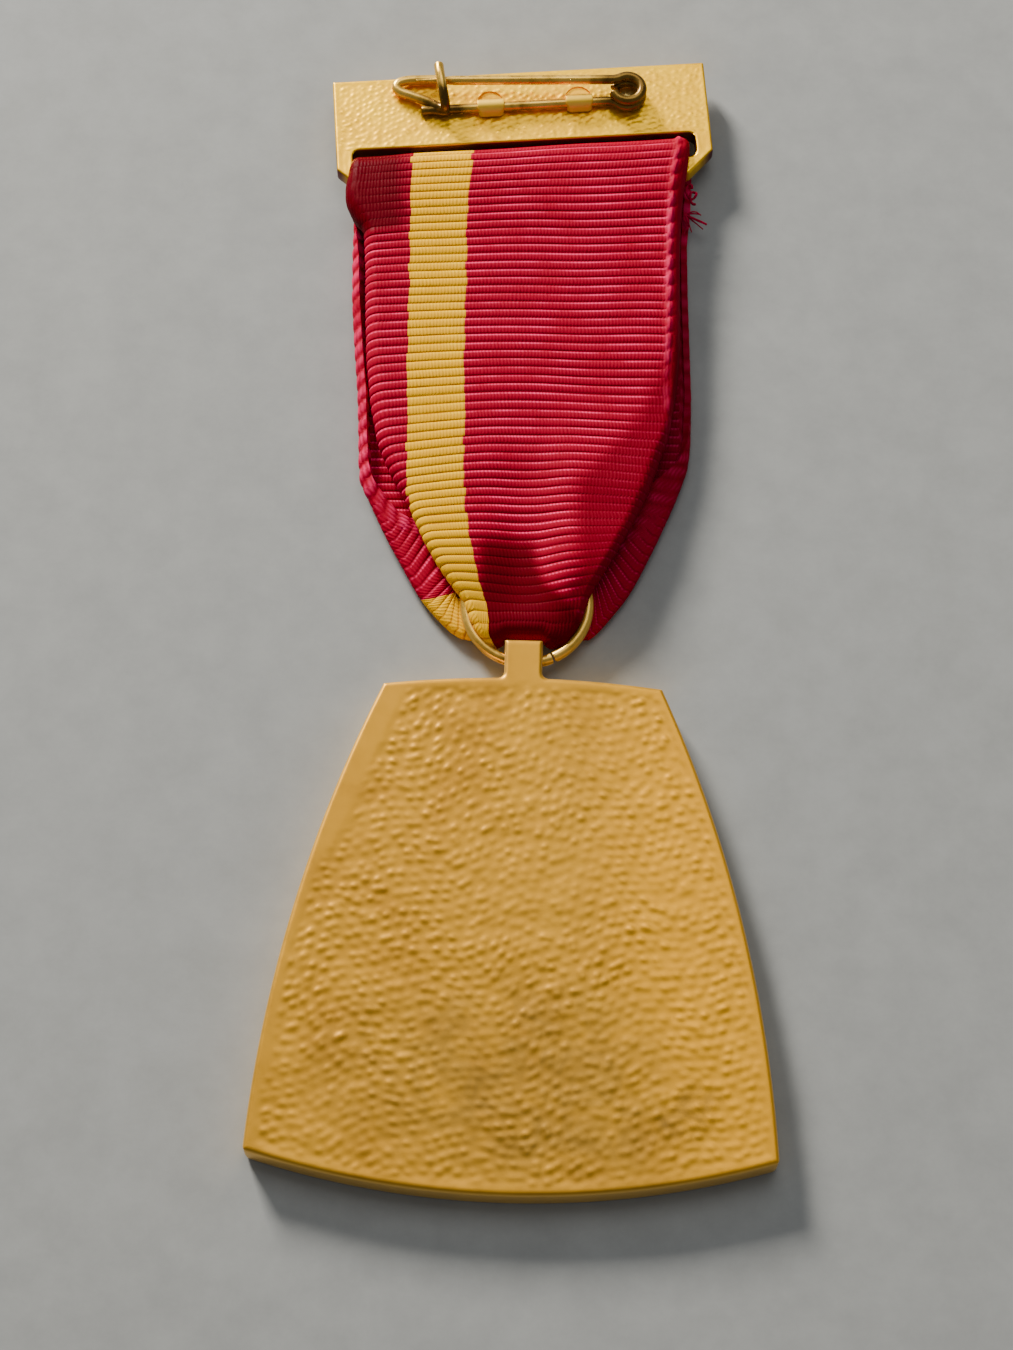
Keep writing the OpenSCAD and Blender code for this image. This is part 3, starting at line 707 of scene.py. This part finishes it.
def weaveRibbon():
    c = clothShape
    fine = smoothLoop(ribbonStations())
    hop = np.roll(fine, -1, 0) - fine
    length = np.concatenate([[0], np.cumsum(np.hypot(hop[:, 0], hop[:, 1]))])
    faceTurn = (fine[:, 2] + 90) % 360      # 0 on the front, 180 on the back
    onFront = np.minimum(faceTurn, 360 - faceTurn) < 40
    crowd = 1 + (c["fanCrowd"] - 1) * smoothStep(fine[:, 0], *c["fan"]) * onFront
    ribsAt = np.concatenate([[0], np.cumsum(crowd * np.diff(length))]) / c["pitch"]
    count = int(round(ribsAt[-1]))
    ribsAt *= count / ribsAt[-1]

    # the rows of points: some to each rib, fewer where the front layer is hidden
    phase, rib = [], []
    for k in range(count):
        y, front = (np.interp(k, ribsAt[:-1], q) for q in (fine[:, 0], onFront))
        steps = c["frontSteps"] if front > .9 and c["coarse"][0] < y < c["coarse"][1] else c["backSteps"]
        phase += steps
        rib += [k] * len(steps)
    at = np.interp(np.array(rib) + phase, ribsAt, length)
    (y0, z0, face, left, right, slope, bowL, bowR, lift, rL, aL, tL, leanL, rR, aR, tR, leanR, qL, qR, sL, sR,
     isBack) = (np.interp(at, length[:-1], k)[:, None] for k in fine.T)
    at, phase, isFront = at[:, None], np.array(phase)[:, None], 1 - isBack
    rng = np.random.default_rng(5)
    ribNoise = rng.normal(0, 1, count)[rib][:, None]

    # the section of each row: place across, depth of roll, shift along, and place in the cloth
    aL, aR, leanL, leanR = (np.radians(k) for k in (aL, aR, leanL, leanR))
    wL = left + rL * np.sin(np.minimum(aL, math.pi / 2))
    wR = right - rR * np.sin(np.minimum(aR, math.pi / 2))
    rolls, tails, (first, last), (edge1, edge2) = c["rollColumns"], c["tailColumns"], c["ends"], c["stripe"]

    def clothAt(w):
        # on the front by its two folds, on the back by the stripe's edges as well
        two = qL + (w - wL) / (wR - wL) * (qR - qL)
        start, end = np.maximum(edge1 - (sL - wL), first), np.minimum(edge2 + (wR - sR), last)
        four = np.where(w < sL, start + (w - wL) / np.maximum(sL - wL, .2) * (edge1 - start),
                        np.where(w < sR, edge1 + (w - sL) / np.maximum(sR - sL, .2) * (edge2 - edge1),
                                 edge2 + (w - sR) / np.maximum(wR - sR, .2) * (end - edge2)))
        return two * isFront + four * isBack

    def rolled(side, start, r, angle, tail, lean):
        # from the fold outwards: the roll, then the straight tail
        spots = [(angle * k / rolls, 0 * tail) for k in range(1, rolls + 1)]
        spots += [(angle, tail * k / tails) for k in range(1, tails + 1)]
        return [(start + side * (r * np.sin(a) + t * np.cos(a) * np.cos(lean)),
                 r * (1 - np.cos(a)) + t * np.sin(a), t * np.sin(lean),
                 clothAt(start) + side * (r * a + t)) for a, t in spots]

    narrow = np.minimum(1, (wR - wL) / 8)       # close columns beside the folds, even ones between them
    evenL, evenR = wL + c["nearLeft"][-1] * narrow, wR - c["nearRight"][0] * narrow
    shares = np.linspace(0, 1, c["flatColumns"] + 3 - len(c["nearLeft"]) - len(c["nearRight"]))
    flats = [wL + k * narrow for k in c["nearLeft"][:-1]] + [evenL * (1 - k) + evenR * k for k in shares]
    flats += [wR - k * narrow for k in c["nearRight"][1:]]
    columns = rolled(-1, wL, rL, aL, tL, leanL)[::-1] + [(w, 0 * w, 0 * w, clothAt(w)) for w in flats]
    columns += rolled(1, wR, rR, aR, tR, leanR)
    w, sunk, shift, cloth = (np.hstack(k) for k in zip(*columns))
    n, cols = w.shape

    s, f = np.radians(slope), np.radians(face)
    outX, outY, outZ = -np.sin(s) * np.cos(f), np.cos(s) * np.cos(f), np.sin(f)
    share = np.clip(w / np.where(w < 0, left, right), 0, 1.1)
    wave = np.array([[noise.noise((x * .13, a * .09, 7.7)) for x in r] for r, a in zip(w[::8], at[::8, 0])])
    wave = np.stack([np.interp(np.arange(n), np.arange(0, n, 8), k) for k in wave.T], 1)
    slide = np.where(w < 0, bowL, bowR) * share ** 2 + shift + .22 * wave + ribNoise * .012
    # slides are along y, and fade where the cloth turns over
    flat = np.abs(np.sin(f))
    rise = lift * (smoothStep(w, .8, 3.8) - .75 * hump(w, -.7, 2.2)) * (isBack > .5) * flat - sunk
    rise += c["doming"] * isBack * flat * np.interp(y0, *alongCloth["dome"]) * (1 - np.minimum(share, 1) ** 2)
    beside = smoothStep(np.abs(w), 1.5, 2.3) * smoothStep(np.abs(w), 4.2, 3.0)      # the turn sags beside the tab
    sag = c["sag"] * np.maximum(-np.cos(f), 0) * beside
    mid = np.stack([w * np.cos(s) + outX * rise, y0 + w * np.sin(s) + slide * flat + outY * rise - sag,
                    z0 + outZ * rise], 2)
    normal = np.cross(np.gradient(mid, axis=1), np.roll(mid, -1, 0) - np.roll(mid, 1, 0))
    normal /= np.maximum(np.linalg.norm(normal, axis=2, keepdims=True), 1e-9)
    if (normal[:, cols // 2] * np.hstack([outX, outY, outZ])).sum() < 0:
        normal = -normal

    # ribs, and the looped selvedge where the cloth ends
    ribShape = np.sin(np.pi * phase) ** c["ribPower"] * (1 + .1 * ribNoise)
    farHalf = cloth > c["nubbedFrom"]
    nubbed = farHalf * isBack
    toEdge = np.minimum(cloth, c["wide"] - cloth)
    selvedge = smoothStep(toEdge, *c["selvedge"])
    chain = np.abs(np.sin(np.pi * (at / c["chainEvery"] + cloth / 2.2))) ** .6
    nub = (.35 + .65 * chain) * hump(toEdge, .88, .36)
    fromLeft, fromRight = w - wL, wR - w
    turnedTo, crease = (np.interp(y0, *alongCloth[k]) for k in ("turned", "crease"))
    zones = {"outerFold": (isFront * flat, np.minimum(fromLeft, fromRight)), "corner": (isBack, w),
             "bulge": (isBack, fromLeft - 1.1 * smoothStep(y0, 83, 87)), "turned": (isBack, fromRight - turnedTo),
             "hollow": (smoothStep(isBack, .3, .8) * smoothStep(w, -4.4, -3.2), w - crease),
             "rightFlap": (isFront, w / right)}
    # each zone is made flatter, and darker by painted shade
    soften, shade = 1, 0
    for name, (alongY, side, flatter, darker) in clothZones.items():
        layer, x = zones[name]
        zones[name] = layer * smoothStep(y0, *alongY) * smoothStep(x, *side)
        soften = soften * (1 - flatter * zones[name])
        shade = shade + darker * zones[name]
    shade = np.clip(shade + np.interp(y0, *alongCloth["flapShade"]) * zones["rightFlap"], 0, 1)
    chained = c["chainHigh"] * (.25 + .75 * chain * np.where(farHalf, .3, 1)) * (1 - nubbed)
    half = c["ribHigh"] * ribShape * (1 - selvedge) + (c["nubHigh"] * nub * nubbed + chained) * selvedge
    half = (c["coreHalf"] + half * soften)[..., None]
    # painted highlight: a pale line along the lit upper side of each rib and on the selvedge's loops, weakened
    # under painted shade
    litLine = hump(phase, np.where(isBack > .4, .22, .78), .09) * (1 - selvedge)
    litLine += .6 * selvedge * np.where(nubbed > .5, nub, chain ** 2)
    litLine *= (1 - .9 * shade) * (1 - .5 * zones["outerFold"])
    # a painted highlight on the nubs along the back layer's right edge
    edgeLine = .6 * nubbed * (.55 + .45 * chain) * hump(toEdge, .95, .34) * smoothStep(y0, 58, 66)
    outer, inner = mid + normal * half, mid - normal * half
    outer[..., 2] = np.maximum(outer[..., 2], .01)      # the ribs that lie on the table are pressed flat

    k = n * cols
    a = np.arange(k).reshape(n, cols)
    b = np.roll(a, -1, 0)
    quads = [np.stack([a[:, :-1], a[:, 1:], b[:, 1:], b[:, :-1]], 2),
             np.stack([a[:, :-1], b[:, :-1], b[:, 1:], a[:, 1:]], 2) + k,
             np.stack([a[:, 0], b[:, 0], b[:, 0] + k, a[:, 0] + k], 1),
             np.stack([a[:, -1], a[:, -1] + k, b[:, -1] + k, b[:, -1]], 1)]
    points = np.concatenate([outer.reshape(-1, 3), inner.reshape(-1, 3)])
    mesh = bpy.data.meshes.new("Ribbon")
    mesh.from_pydata(points.tolist(), [], np.concatenate([q.reshape(-1, 4) for q in quads]).tolist())
    obj = bpy.data.objects.new("Ribbon", mesh)
    bpy.context.scene.collection.objects.link(obj)
    fields = {"clothPlace": cloth + rng.normal(0, .06, count)[rib][:, None], "shade": shade,
              "ribHeight": ribShape * (1 - selvedge) + selvedge * np.where(nubbed > .5, nub, chain),
              "litLine": np.maximum(litLine, edgeLine), "alongPlace": at + 0 * cloth}
    for name, field in fields.items():      # both faces carry the same
        made = mesh.attributes.new(name, "FLOAT", "POINT")
        made.data.foreach_set("value", np.tile(field.ravel(), 2).astype(np.float32))
    return obj


# Valley colours are painted shade between the ribs, the Light colours the painted highlight along each rib,
# redShade the painted shade of the turned, hollow and hidden places
clothColours = {
    "redValley": (.23, .0, .012), "redBody": (.345, .0, .02), "redLight": (1.0, .03, .17),
    "redShade": (.08, .0, .003),
    "yellowValley": (.50, .19, .0), "yellowBody": (.84, .42, .0), "yellowLight": (.92, .58, .0),
    "thread": .29, "shine": .02, "rough": (.36, .55), "threadDeep": .03,
}


def ribbonFinish():
    k = clothColours
    mat = newFinish("ribbedSilk")
    names = ("clothPlace", "ribHeight", "alongPlace", "litLine", "shade")
    spot, high, along, lit, dim = (carried(mat, name) for name in names)
    edge1, edge2 = clothShape["stripe"]
    inStripe = times(mat, maths(mat, "GREATER_THAN", spot, edge1), maths(mat, "LESS_THAN", spot, edge2))
    drift = patches(mat, place(mat), .5, 4.0, .6)
    gloss = patches(mat, place(mat), .16, 3.0, .5)
    thread = maths(mat, "SINE", plus(mat, times(mat, spot, 2 * math.pi / k["thread"]), times(mat, drift, 9)))
    level = plus(mat, plus(mat, high, ranged(mat, drift, .3, .7, -.18, .18)), times(mat, thread, .06))
    # the painted highlight on the lit side of a rib is broken into beads, more so near the ring
    alongY = nodeIn(mat, "SeparateXYZ", n0=nodeIn(mat, "TexCoord").outputs["Object"]).outputs[1]
    beads = plus(mat, times(mat, thread, ranged(mat, alongY, .004, .03, .42, .1)), .9)
    lit = times(mat, lit, ranged(mat, patches(mat, place(mat), .28, 3.0, .6), .35, .62, .3, 1.0))
    lit = ranged(mat, times(mat, lit, beads), .12, .85, 0.0, 1.0)
    # rib valleys take a darker colour as painted shade, the lit line a pale one as painted highlight
    red, yellow = (mix(mat, lit, ramp(mat, level, [(.1, k[tone + "Valley"]), (.6, k[tone + "Body"])]),
                       k[tone + "Light"]) for tone in ("red", "yellow"))
    # painted shade darkens the zones where the cloth turns away
    red = mix(mat, times(mat, dim, .88), red, k["redShade"])
    fibreAt = nodeIn(mat, "CombineXYZ", n0=times(mat, spot, 14), n1=times(mat, along, 3)).outputs[0]
    height = plus(mat, times(mat, thread, .5), patches(mat, fibreAt, 1, 3.0, .6))
    bump = nodeIn(mat, "Bump", Strength=.6, Distance=k["threadDeep"] * mm, Height=height).outputs[0]
    return shaded(mat, Base_Color=mix(mat, inStripe, red, yellow), Normal=bump, Specular_IOR_Level=k["shine"],
                  Roughness=ranged(mat, gloss, .35, .65, *k["rough"]))


frayShape = {"radius": .075, "knot": (13.35, 87.5, 2.1), "tuft": (13.2, 85.3, 1.5), "strands": 9,
             "reach": (1.0, 2.1), "light": (.62, 0, .06), "dark": (.16, 0, .008)}


def makeFray():
    # a few loose threads where the front layer's edge is cut, and the small knot above them
    f = frayShape
    rng = np.random.default_rng(12)
    strands = []
    tuftX, tuftY, tuftZ = f["tuft"]
    for k in range(f["strands"]):
        turn = -95 + 100 * k / (f["strands"] - 1) + rng.normal(0, 8)
        reach = rng.uniform(*f["reach"])
        bend, rise = rng.normal(0, .28), rng.uniform(.1, .5)
        rootX, rootY = spun(.12, 0, 3 * turn)
        route = []
        for i in range(7):
            t = i / 6
            x, y = spun(reach * t, bend * math.sin(math.pi * t), turn)
            route.append((tuftX + rootX + x, tuftY + rootY + y, tuftZ + rise * math.sin(2 * t) - .5 * t))
        strands.append(bentWire(route, f["radius"], [1 - .35 * i / 6 for i in range(7)]))
    kx, ky, kz = f["knot"]
    loop = [(kx + .36 * math.cos(q) + .06 * q, ky + .5 * math.sin(q) - .1 * q, kz + .16 * math.sin(2.3 * q))
            for q in np.linspace(0, 11, 44)]
    strands.append(bentWire(loop, f["radius"] * 1.5))
    return joinTo(*strands)


ribbon = weaveRibbon()
layDown(ribbon, "Ribbon", "medal", ribbonFinish(), 80)
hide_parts("ribbon")
fray = makeFray()
yarn = newFinish("looseYarn")
yarnTone = mix(yarn, patches(yarn, place(yarn), 2.2, 3.0), frayShape["dark"], frayShape["light"])
layDown(fray, "LooseThreads", "medal",
        shaded(yarn, Roughness=.7, Specular_IOR_Level=.05, Base_Color=yarnTone), 80)
print("ribbon done")


# bar, in millimetres from its own middle and upper face, then turned into place
barShape = {
    "halfWide": 16.6, "halfHigh": 5.8, "thick": 1.5, "cut": 2.3,
    "slotHalf": 15.15, "slotLow": -4.05, "slotTop": -1.55, "slotCorner": .6,
    "edgeRound": .2, "cornerRound": .3, "columns": (18, 330, 18), "rows": (22, 12, 84),
    "margins": (0, .02, .07, .17), "walls": ((-.6, 0), (-.5, 0), (-.17, .05), (-.1, .12)),
    "pebble": (.62, .5), "pebbleHigh": .052, "pebbleMean": .8, "rowTurn": 26, "seed": 4,
    "prongs": (-2.7, 5.15), "prongWide": 2.4, "prongThick": .25, "prongInner": .46, "prongEnd": .14,
    "prongRoot": .25, "prongFlare": (.4, .16), "armY": 1.85, "armHigh": .475,
    "recessHalf": 1.15, "recessRise": .95, "recessDeep": .17, "mark": (1.5, .13, .5), "markTurn": 24,
}


def barCorners():
    w, h, c = barShape["halfWide"], barShape["halfHigh"], barShape["cut"]
    return [Vector(q) for q in ((-w, h), (-w, c - h), (c - w, -h), (w - c, -h), (w, c - h), (w, h))]


def outlineNormals(corners):
    sides = [(b - a).normalized() for a, b in zip(corners, corners[1:] + corners[:1])]
    return [Vector((s.y, -s.x)) for s in sides]


def outOfSlot(x, y):
    b = barShape
    qx = np.abs(x) - b["slotHalf"] + b["slotCorner"]
    qy = np.abs(y - (b["slotLow"] + b["slotTop"]) / 2) - (b["slotTop"] - b["slotLow"]) / 2 + b["slotCorner"]
    beyond = np.hypot(np.maximum(qx, 0), np.maximum(qy, 0)) + np.minimum(np.maximum(qx, qy), 0)
    return beyond - b["slotCorner"]


def placesBetween(marks, counts, margins):
    parts = [low + stops(high - low, count, margins)[:-1] for low, high, count in zip(marks, marks[1:], counts)]
    return np.concatenate([*parts, marks[-1:]])


def makeBar():
    b = barShape
    w, h, margins = b["halfWide"], b["halfHigh"], b["margins"]
    xs = placesBetween([-w, -b["slotHalf"], b["slotHalf"], w], b["columns"], margins)
    ys = placesBetween([-h, b["slotLow"], b["slotTop"], h], b["rows"], margins)
    obj, column, row = gridOf(len(xs) - 1, len(ys) - 1)
    putPoints(obj, xs[column], ys[row], 0)
    corners = barCorners()
    normals = outlineNormals(corners)
    for index in (1, 3):        # the two cut corners, with close rows beside the cut for its rounded edge
        n = normals[index]
        for margin in margins:
            startEdit(obj, "EDGE", "SELECT")
            at = corners[index] - n * margin
            bpy.ops.mesh.bisect(plane_co=(*at, 0), plane_no=(*n, 0), clear_outer=margin == 0)
            endEdit()
    x, y = pointsOf(obj)[:, :2].T
    for k, corner in enumerate(corners):
        x, y = roundedCorner(x, y, corner, normals[k - 1], normals[k], b["cornerRound"])
    depth = np.min([n.dot(c) - n.x * x - n.y * y for n, c in zip(normals, corners)], axis=0)
    free = outOfSlot(x, y)
    near = np.minimum(depth, np.where(free < 0, b["edgeRound"], free))
    putPoints(obj, x, y, roundedEdge(near, b["edgeRound"]))

    inner = smoothStep(depth, .12, .6) * smoothStep(np.abs(free), .1, .5)
    marks = b["pebbleHigh"] * (hammered(x, y, b) - b["pebbleMean"])
    putPoints(obj, x, y, pointsOf(obj)[:, 2] + inner * marks)

    startEdit(obj)
    selectWhere(obj, "edges", lambda e: e.is_boundary)
    for drop, inwards in b["walls"]:
        pullOut(0, 0, drop)
        bpy.ops.transform.resize(value=(1 - inwards / w, 1 - inwards / h, 1), center_override=(0, 0, 0))
    moveSelected(obj, lambda q: Vector((q.x, q.y, -b["thick"])))
    bpy.ops.mesh.edge_face_add()
    endEdit()
    outwards(obj)

    # the slot, the two shallow places that the prongs were lanced from, and the tool's mark in the coil's eye
    bpy.ops.mesh.primitive_cube_add(size=1, location=(0, (b["slotLow"] + b["slotTop"]) / 2, -b["thick"] / 2),
                                    scale=(2 * b["slotHalf"], b["slotTop"] - b["slotLow"], 4))
    cutter = bpy.context.object
    settle()
    startEdit(cutter)
    selectWhere(cutter, "edges", lambda e: abs(e.verts[0].co.z - e.verts[1].co.z) > 1)
    bpy.ops.mesh.bevel(offset=b["slotCorner"], segments=8)
    endEdit()
    radius = arcRadius(b["recessHalf"], b["recessRise"])
    flatY = b["armY"] + b["prongInner"] + b["prongThick"] + b["prongFlare"][0]
    for px in b["prongs"]:
        clearSelection()
        bpy.ops.mesh.primitive_cylinder_add(vertices=72, radius=radius, depth=2, location=(
            px, flatY + b["recessRise"] - radius, 1 - b["recessDeep"]))
        half = bpy.context.object
        settle()
        startEdit(half, "EDGE", "SELECT")
        bpy.ops.mesh.bisect(plane_co=(0, flatY, 0), plane_no=(0, 1, 0), clear_inner=True, use_fill=True)
        endEdit()
        joinTo(cutter, half)
    clearSelection()
    bpy.ops.mesh.primitive_cube_add(size=1, location=(*pinShape["coil"], .1), scale=b["mark"],
                                    rotation=(0, 0, math.radians(b["markTurn"])))
    joinTo(cutter, bpy.context.object)
    outwards(cutter)
    combine(obj, cutter)
    toBar(obj)
    # painted shade on the slot's walls, dark red like the cloth's reflection; a painted pool of light in the coil's
    # eye; a painted shadow line along the flat edge of each lanced place
    paintedLightOnBar = [{**onBar(0, -2.8, 0, (60, 2.1), (.12, .015, .015)), "walls": True},
              onBar(*pinShape["coil"], 0, (1.15, 1.15, .6), (1, .76, .24))]
    paintedLightOnBar += [onBar(px, flatY + .02, 0, (1.5, .1, .6), (.2, .1, .015)) for px in b["prongs"]]
    layDown(obj, "Bar", "medal", giltFinish("satinGiltBar", "bar", paintedLightOnBar), 40)
    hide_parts("pin_bar")


def onBar(x, y, z, size, colour):
    # a mark of painted light or shade at a place of the bar
    dx, dy = spun(x, y, barTurn)
    return {"at": (barAt[0] + dx, barAt[1] + dy - midY, barAt[2] + z), "turn": barTurn,
            "size": size, "much": 1, "colour": colour, "least": 1}


def toBar(obj):
    obj.location = barAt
    obj.rotation_euler = (0, 0, math.radians(barTurn))


def makeProngs():
    b = barShape
    reach = b["prongInner"] + b["prongThick"]
    for number, px in enumerate(b["prongs"], 1):
        clearSelection()
        bpy.ops.mesh.primitive_grid_add(x_subdivisions=12, y_subdivisions=3, size=1, location=(
            px, b["armY"] + (b["prongInner"] + reach) / 2, -b["prongRoot"]))
        strip = bpy.context.object
        strip.scale = (b["prongWide"], b["prongThick"], 1)
        settle()
        startEdit(strip, "FACE", "SELECT")
        for rise in (b["prongRoot"], b["armHigh"]):
            pullOut(0, 0, rise)
        bpy.ops.mesh.spin(steps=16, angle=math.pi, center=(px, b["armY"], b["armHigh"]), axis=(-1, 0, 0))
        pullOut(0, 0, b["prongEnd"] - b["armHigh"])
        endEdit()
        outwards(strip)

        def tongue(q):      # the free end narrows to rounded corners, the feet flare
            t = max(0, (b["armY"] - q.y) / reach - .25) / .75
            flare = max(0, b["armHigh"] - q.z) / b["armHigh"]
            out = b["prongFlare"][0] if q.y > b["armY"] else -b["prongFlare"][1]
            return Vector((px + (q.x - px) * (1 - .34 * t ** 3), q.y + out * min(flare, 1) ** 1.3, q.z))

        startEdit(strip, "VERT", "SELECT")
        moveSelected(strip, tongue)
        endEdit()
        dulled(strip, .1, 3, 50)
        toBar(strip)
        # the tongue's lower face, which faces away from the lamp, is painted a paler gold as painted light
        rubbedAndLit = onBar(px, b["armY"] - 1.05, .5, (4, .75, 4), (.90, .62, .09))
        layDown(strip, f"Prong{number}", "medal", giltFinish(f"bentTongue{number}", "prong", [rubbedAndLit]), 45)


# the safety pin, from the bar's middle and upper face
pinShape = {
    "wire": .425, "coil": (9.45, 2.4), "coilRadius": 1.29, "crook": 1.6, "sweep": 280,
    "armHigh": .475, "armOffset": .55, "armLength": 18.3, "armFrom": 3.2,
    "pinHigh": 1.425, "pinOffset": .95, "pinLength": 18.7, "pinFrom": 3, "pinAngle": -3.3,
    "point": 3.4, "tip": .08,
    "catch": [(-7.3, 5.1, .47), (-8.6, 5.15, .47), (-9.9, 5.15, .5), (-10.7, 4.9, .55), (-10.95, 4.4, .58),
              (-10.6, 3.9, .6), (-9.6, 3.4, .6), (-8.4, 2.75, .65), (-7.3, 1.95, .75), (-6.8, 1.55, 1.1),
              (-6.75, 1.75, 1.7), (-6.85, 2.4, 2.25), (-6.95, 3.3, 2.5), (-7.05, 4.3, 2.58), (-7.1, 5.3, 2.45)],
    "solder": (-7.15, 1.75, .42), "solderSize": (.95, .5, .5), "solderTurn": -14,
    "stainAndPaintedLight": {"colour": (.10, .05, .01), "much": .95, "least": .85},
}


def coiledPath(offset):
    # one turn of the coil and the crook, up to where the straight arm starts; in the coil's plane
    p = pinShape
    outer = p["coilRadius"] + p["crook"]
    crook = math.acos(1 - (p["coilRadius"] - offset) / outer)
    path = []
    for k in range(61):
        a = math.pi / 2 + crook + math.radians(p["sweep"]) * (k / 60 - 1)
        path.append((p["coilRadius"] * math.cos(a), p["coilRadius"] * math.sin(a)))
    for k in range(1, 13):
        a = -math.pi / 2 + crook * (1 - k / 12)
        x, y = p["crook"] * math.cos(a), p["crook"] * math.sin(a)
        path.append((x - outer * math.sin(crook), y + offset + p["crook"]))
    return path


def smoothRoute(points, steps):
    # a curve through listed points
    p = [Vector(q) for q in points]
    p = [p[0] * 2 - p[1], *p, p[-1] * 2 - p[-2]]
    route = []
    for a, b, c, d in zip(p, p[1:], p[2:], p[3:]):
        for k in range(steps):
            t = k / steps
            route.append(.5 * (2 * b + (c - a) * t + (2 * a - 5 * b + 4 * c - d) * t * t +
                               (3 * b - a - 3 * c + d) * t ** 3))
    return route + [p[-2]]


def wireFinish(name, *spots):
    return giltFinish(name, "wire", [{**pinShape["stainAndPaintedLight"], "at": at, "size": size} for at, size in spots])


def makePin():
    p = pinShape
    cx, cy = p["coil"]
    straight = [(-p["armFrom"] - k * (p["armLength"] - p["armFrom"]) / 24, p["armOffset"]) for k in range(25)]
    route = coiledPath(p["armOffset"]) + straight
    arm = bentWire([(cx + x, cy - y, p["armHigh"]) for x, y in route], p["wire"])
    catch = bentWire(smoothRoute(p["catch"], 9), p["wire"])
    clearSelection()
    bpy.ops.mesh.primitive_uv_sphere_add(segments=24, ring_count=14, radius=1, location=p["solder"],
                                         rotation=(0, 0, math.radians(p["solderTurn"])), scale=p["solderSize"])
    solder = bpy.context.object
    settle()
    for extra in (catch, solder):
        combine(arm, extra, "UNION")
    toBar(arm)
    finish = wireFinish("wornGiltWire", ((7.9, 47.6, 3.2), (3.6, 3.6)), ((-8.4, 45.3, 3.3), (2.8, 1.8)))
    layDown(arm, "PinWire", "medal", finish, 50)
    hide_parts("pin_wire")

    bodyEnd = p["pinLength"] - p["point"]
    straight = [(-p["pinFrom"] - k * (bodyEnd - p["pinFrom"]) / 20, p["pinOffset"]) for k in range(21)]
    taper = [(-bodyEnd - p["point"] * k / 12, p["pinOffset"]) for k in range(1, 13)]
    body = coiledPath(p["pinOffset"]) + straight
    thin = [1] * len(body) + [1 - (1 - p["tip"] / p["wire"]) * (k / 12) for k in range(1, 13)]
    route = [(cx + x, cy + y, p["pinHigh"]) for x, y in (spun(*q, p["pinAngle"]) for q in body + taper)]
    pin = bentWire(route, p["wire"], thin)
    toBar(pin)
    layDown(pin, "PinArm", "pin", wireFinish("wornGiltPin", ((7.9, 47.6, 4.1), (3.6, 3.6))), 50)
    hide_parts("pin_arm")


# the split ring: two half-round turns, back to back
ringShape = {
    "at": (.15, 41.9, 1.37), "tilt": 5, "radius": 5.08, "drawn": 4.962, "wire": .42, "wall": .06,
    "flatShare": .93, "flatZ": .014, "cut": -65, "gap": 1.69, "sides": 24, "steps": 150, "offCentre": .03,
}


def makeRing():
    r = ringShape
    turns = []
    for level, gaps in ((1, 1), (-1, 2)):
        clearSelection()
        bpy.ops.mesh.primitive_circle_add(vertices=r["sides"], radius=r["wire"], location=(r["radius"], 0, 0),
                                          rotation=(math.radians(90), 0, 0))
        turn = bpy.context.object
        settle()
        startEdit(turn, "VERT", "SELECT")
        # the half below the seam is pressed flat, its corners a little round
        moveSelected(turn, lambda q: Vector((q.x, 0, q.z + r["wall"])) if q.z > -.02 else
                     Vector((r["radius"] + (q.x - r["radius"]) * r["flatShare"], 0, r["flatZ"])))
        bpy.ops.mesh.edge_face_add()
        bpy.ops.mesh.spin(steps=r["steps"], angle=math.radians(360 - r["gap"] * gaps), center=(0, 0, 0),
                          axis=(0, 0, 1))
        endEdit()
        turn.rotation_euler = (0, 0, math.radians(r["cut"]))
        turn.scale = (1, 1, level)
        turn.location = (0, -r["offCentre"] if level < 0 else 0, 0)
        pickOnly(turn)
        settle()
        outwards(turn)
        dulled(turn, .04, 2, 60)
        turns.append(turn)
    ring = joinTo(*turns)
    tilt = math.radians(r["tilt"])
    x, y, z = r["at"]
    ring.rotation_euler = (tilt, 0, 0)
    ring.location = (x, y + r["drawn"] * math.cos(tilt), z + r["drawn"] * math.sin(tilt))
    layDown(ring, "Ring", "medal", giltFinish("rubbedGiltRing", "ring"), 50)
    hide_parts("ring")


makeBar()
makeProngs()
makePin()
makeRing()
print("bar, pin and ring done")
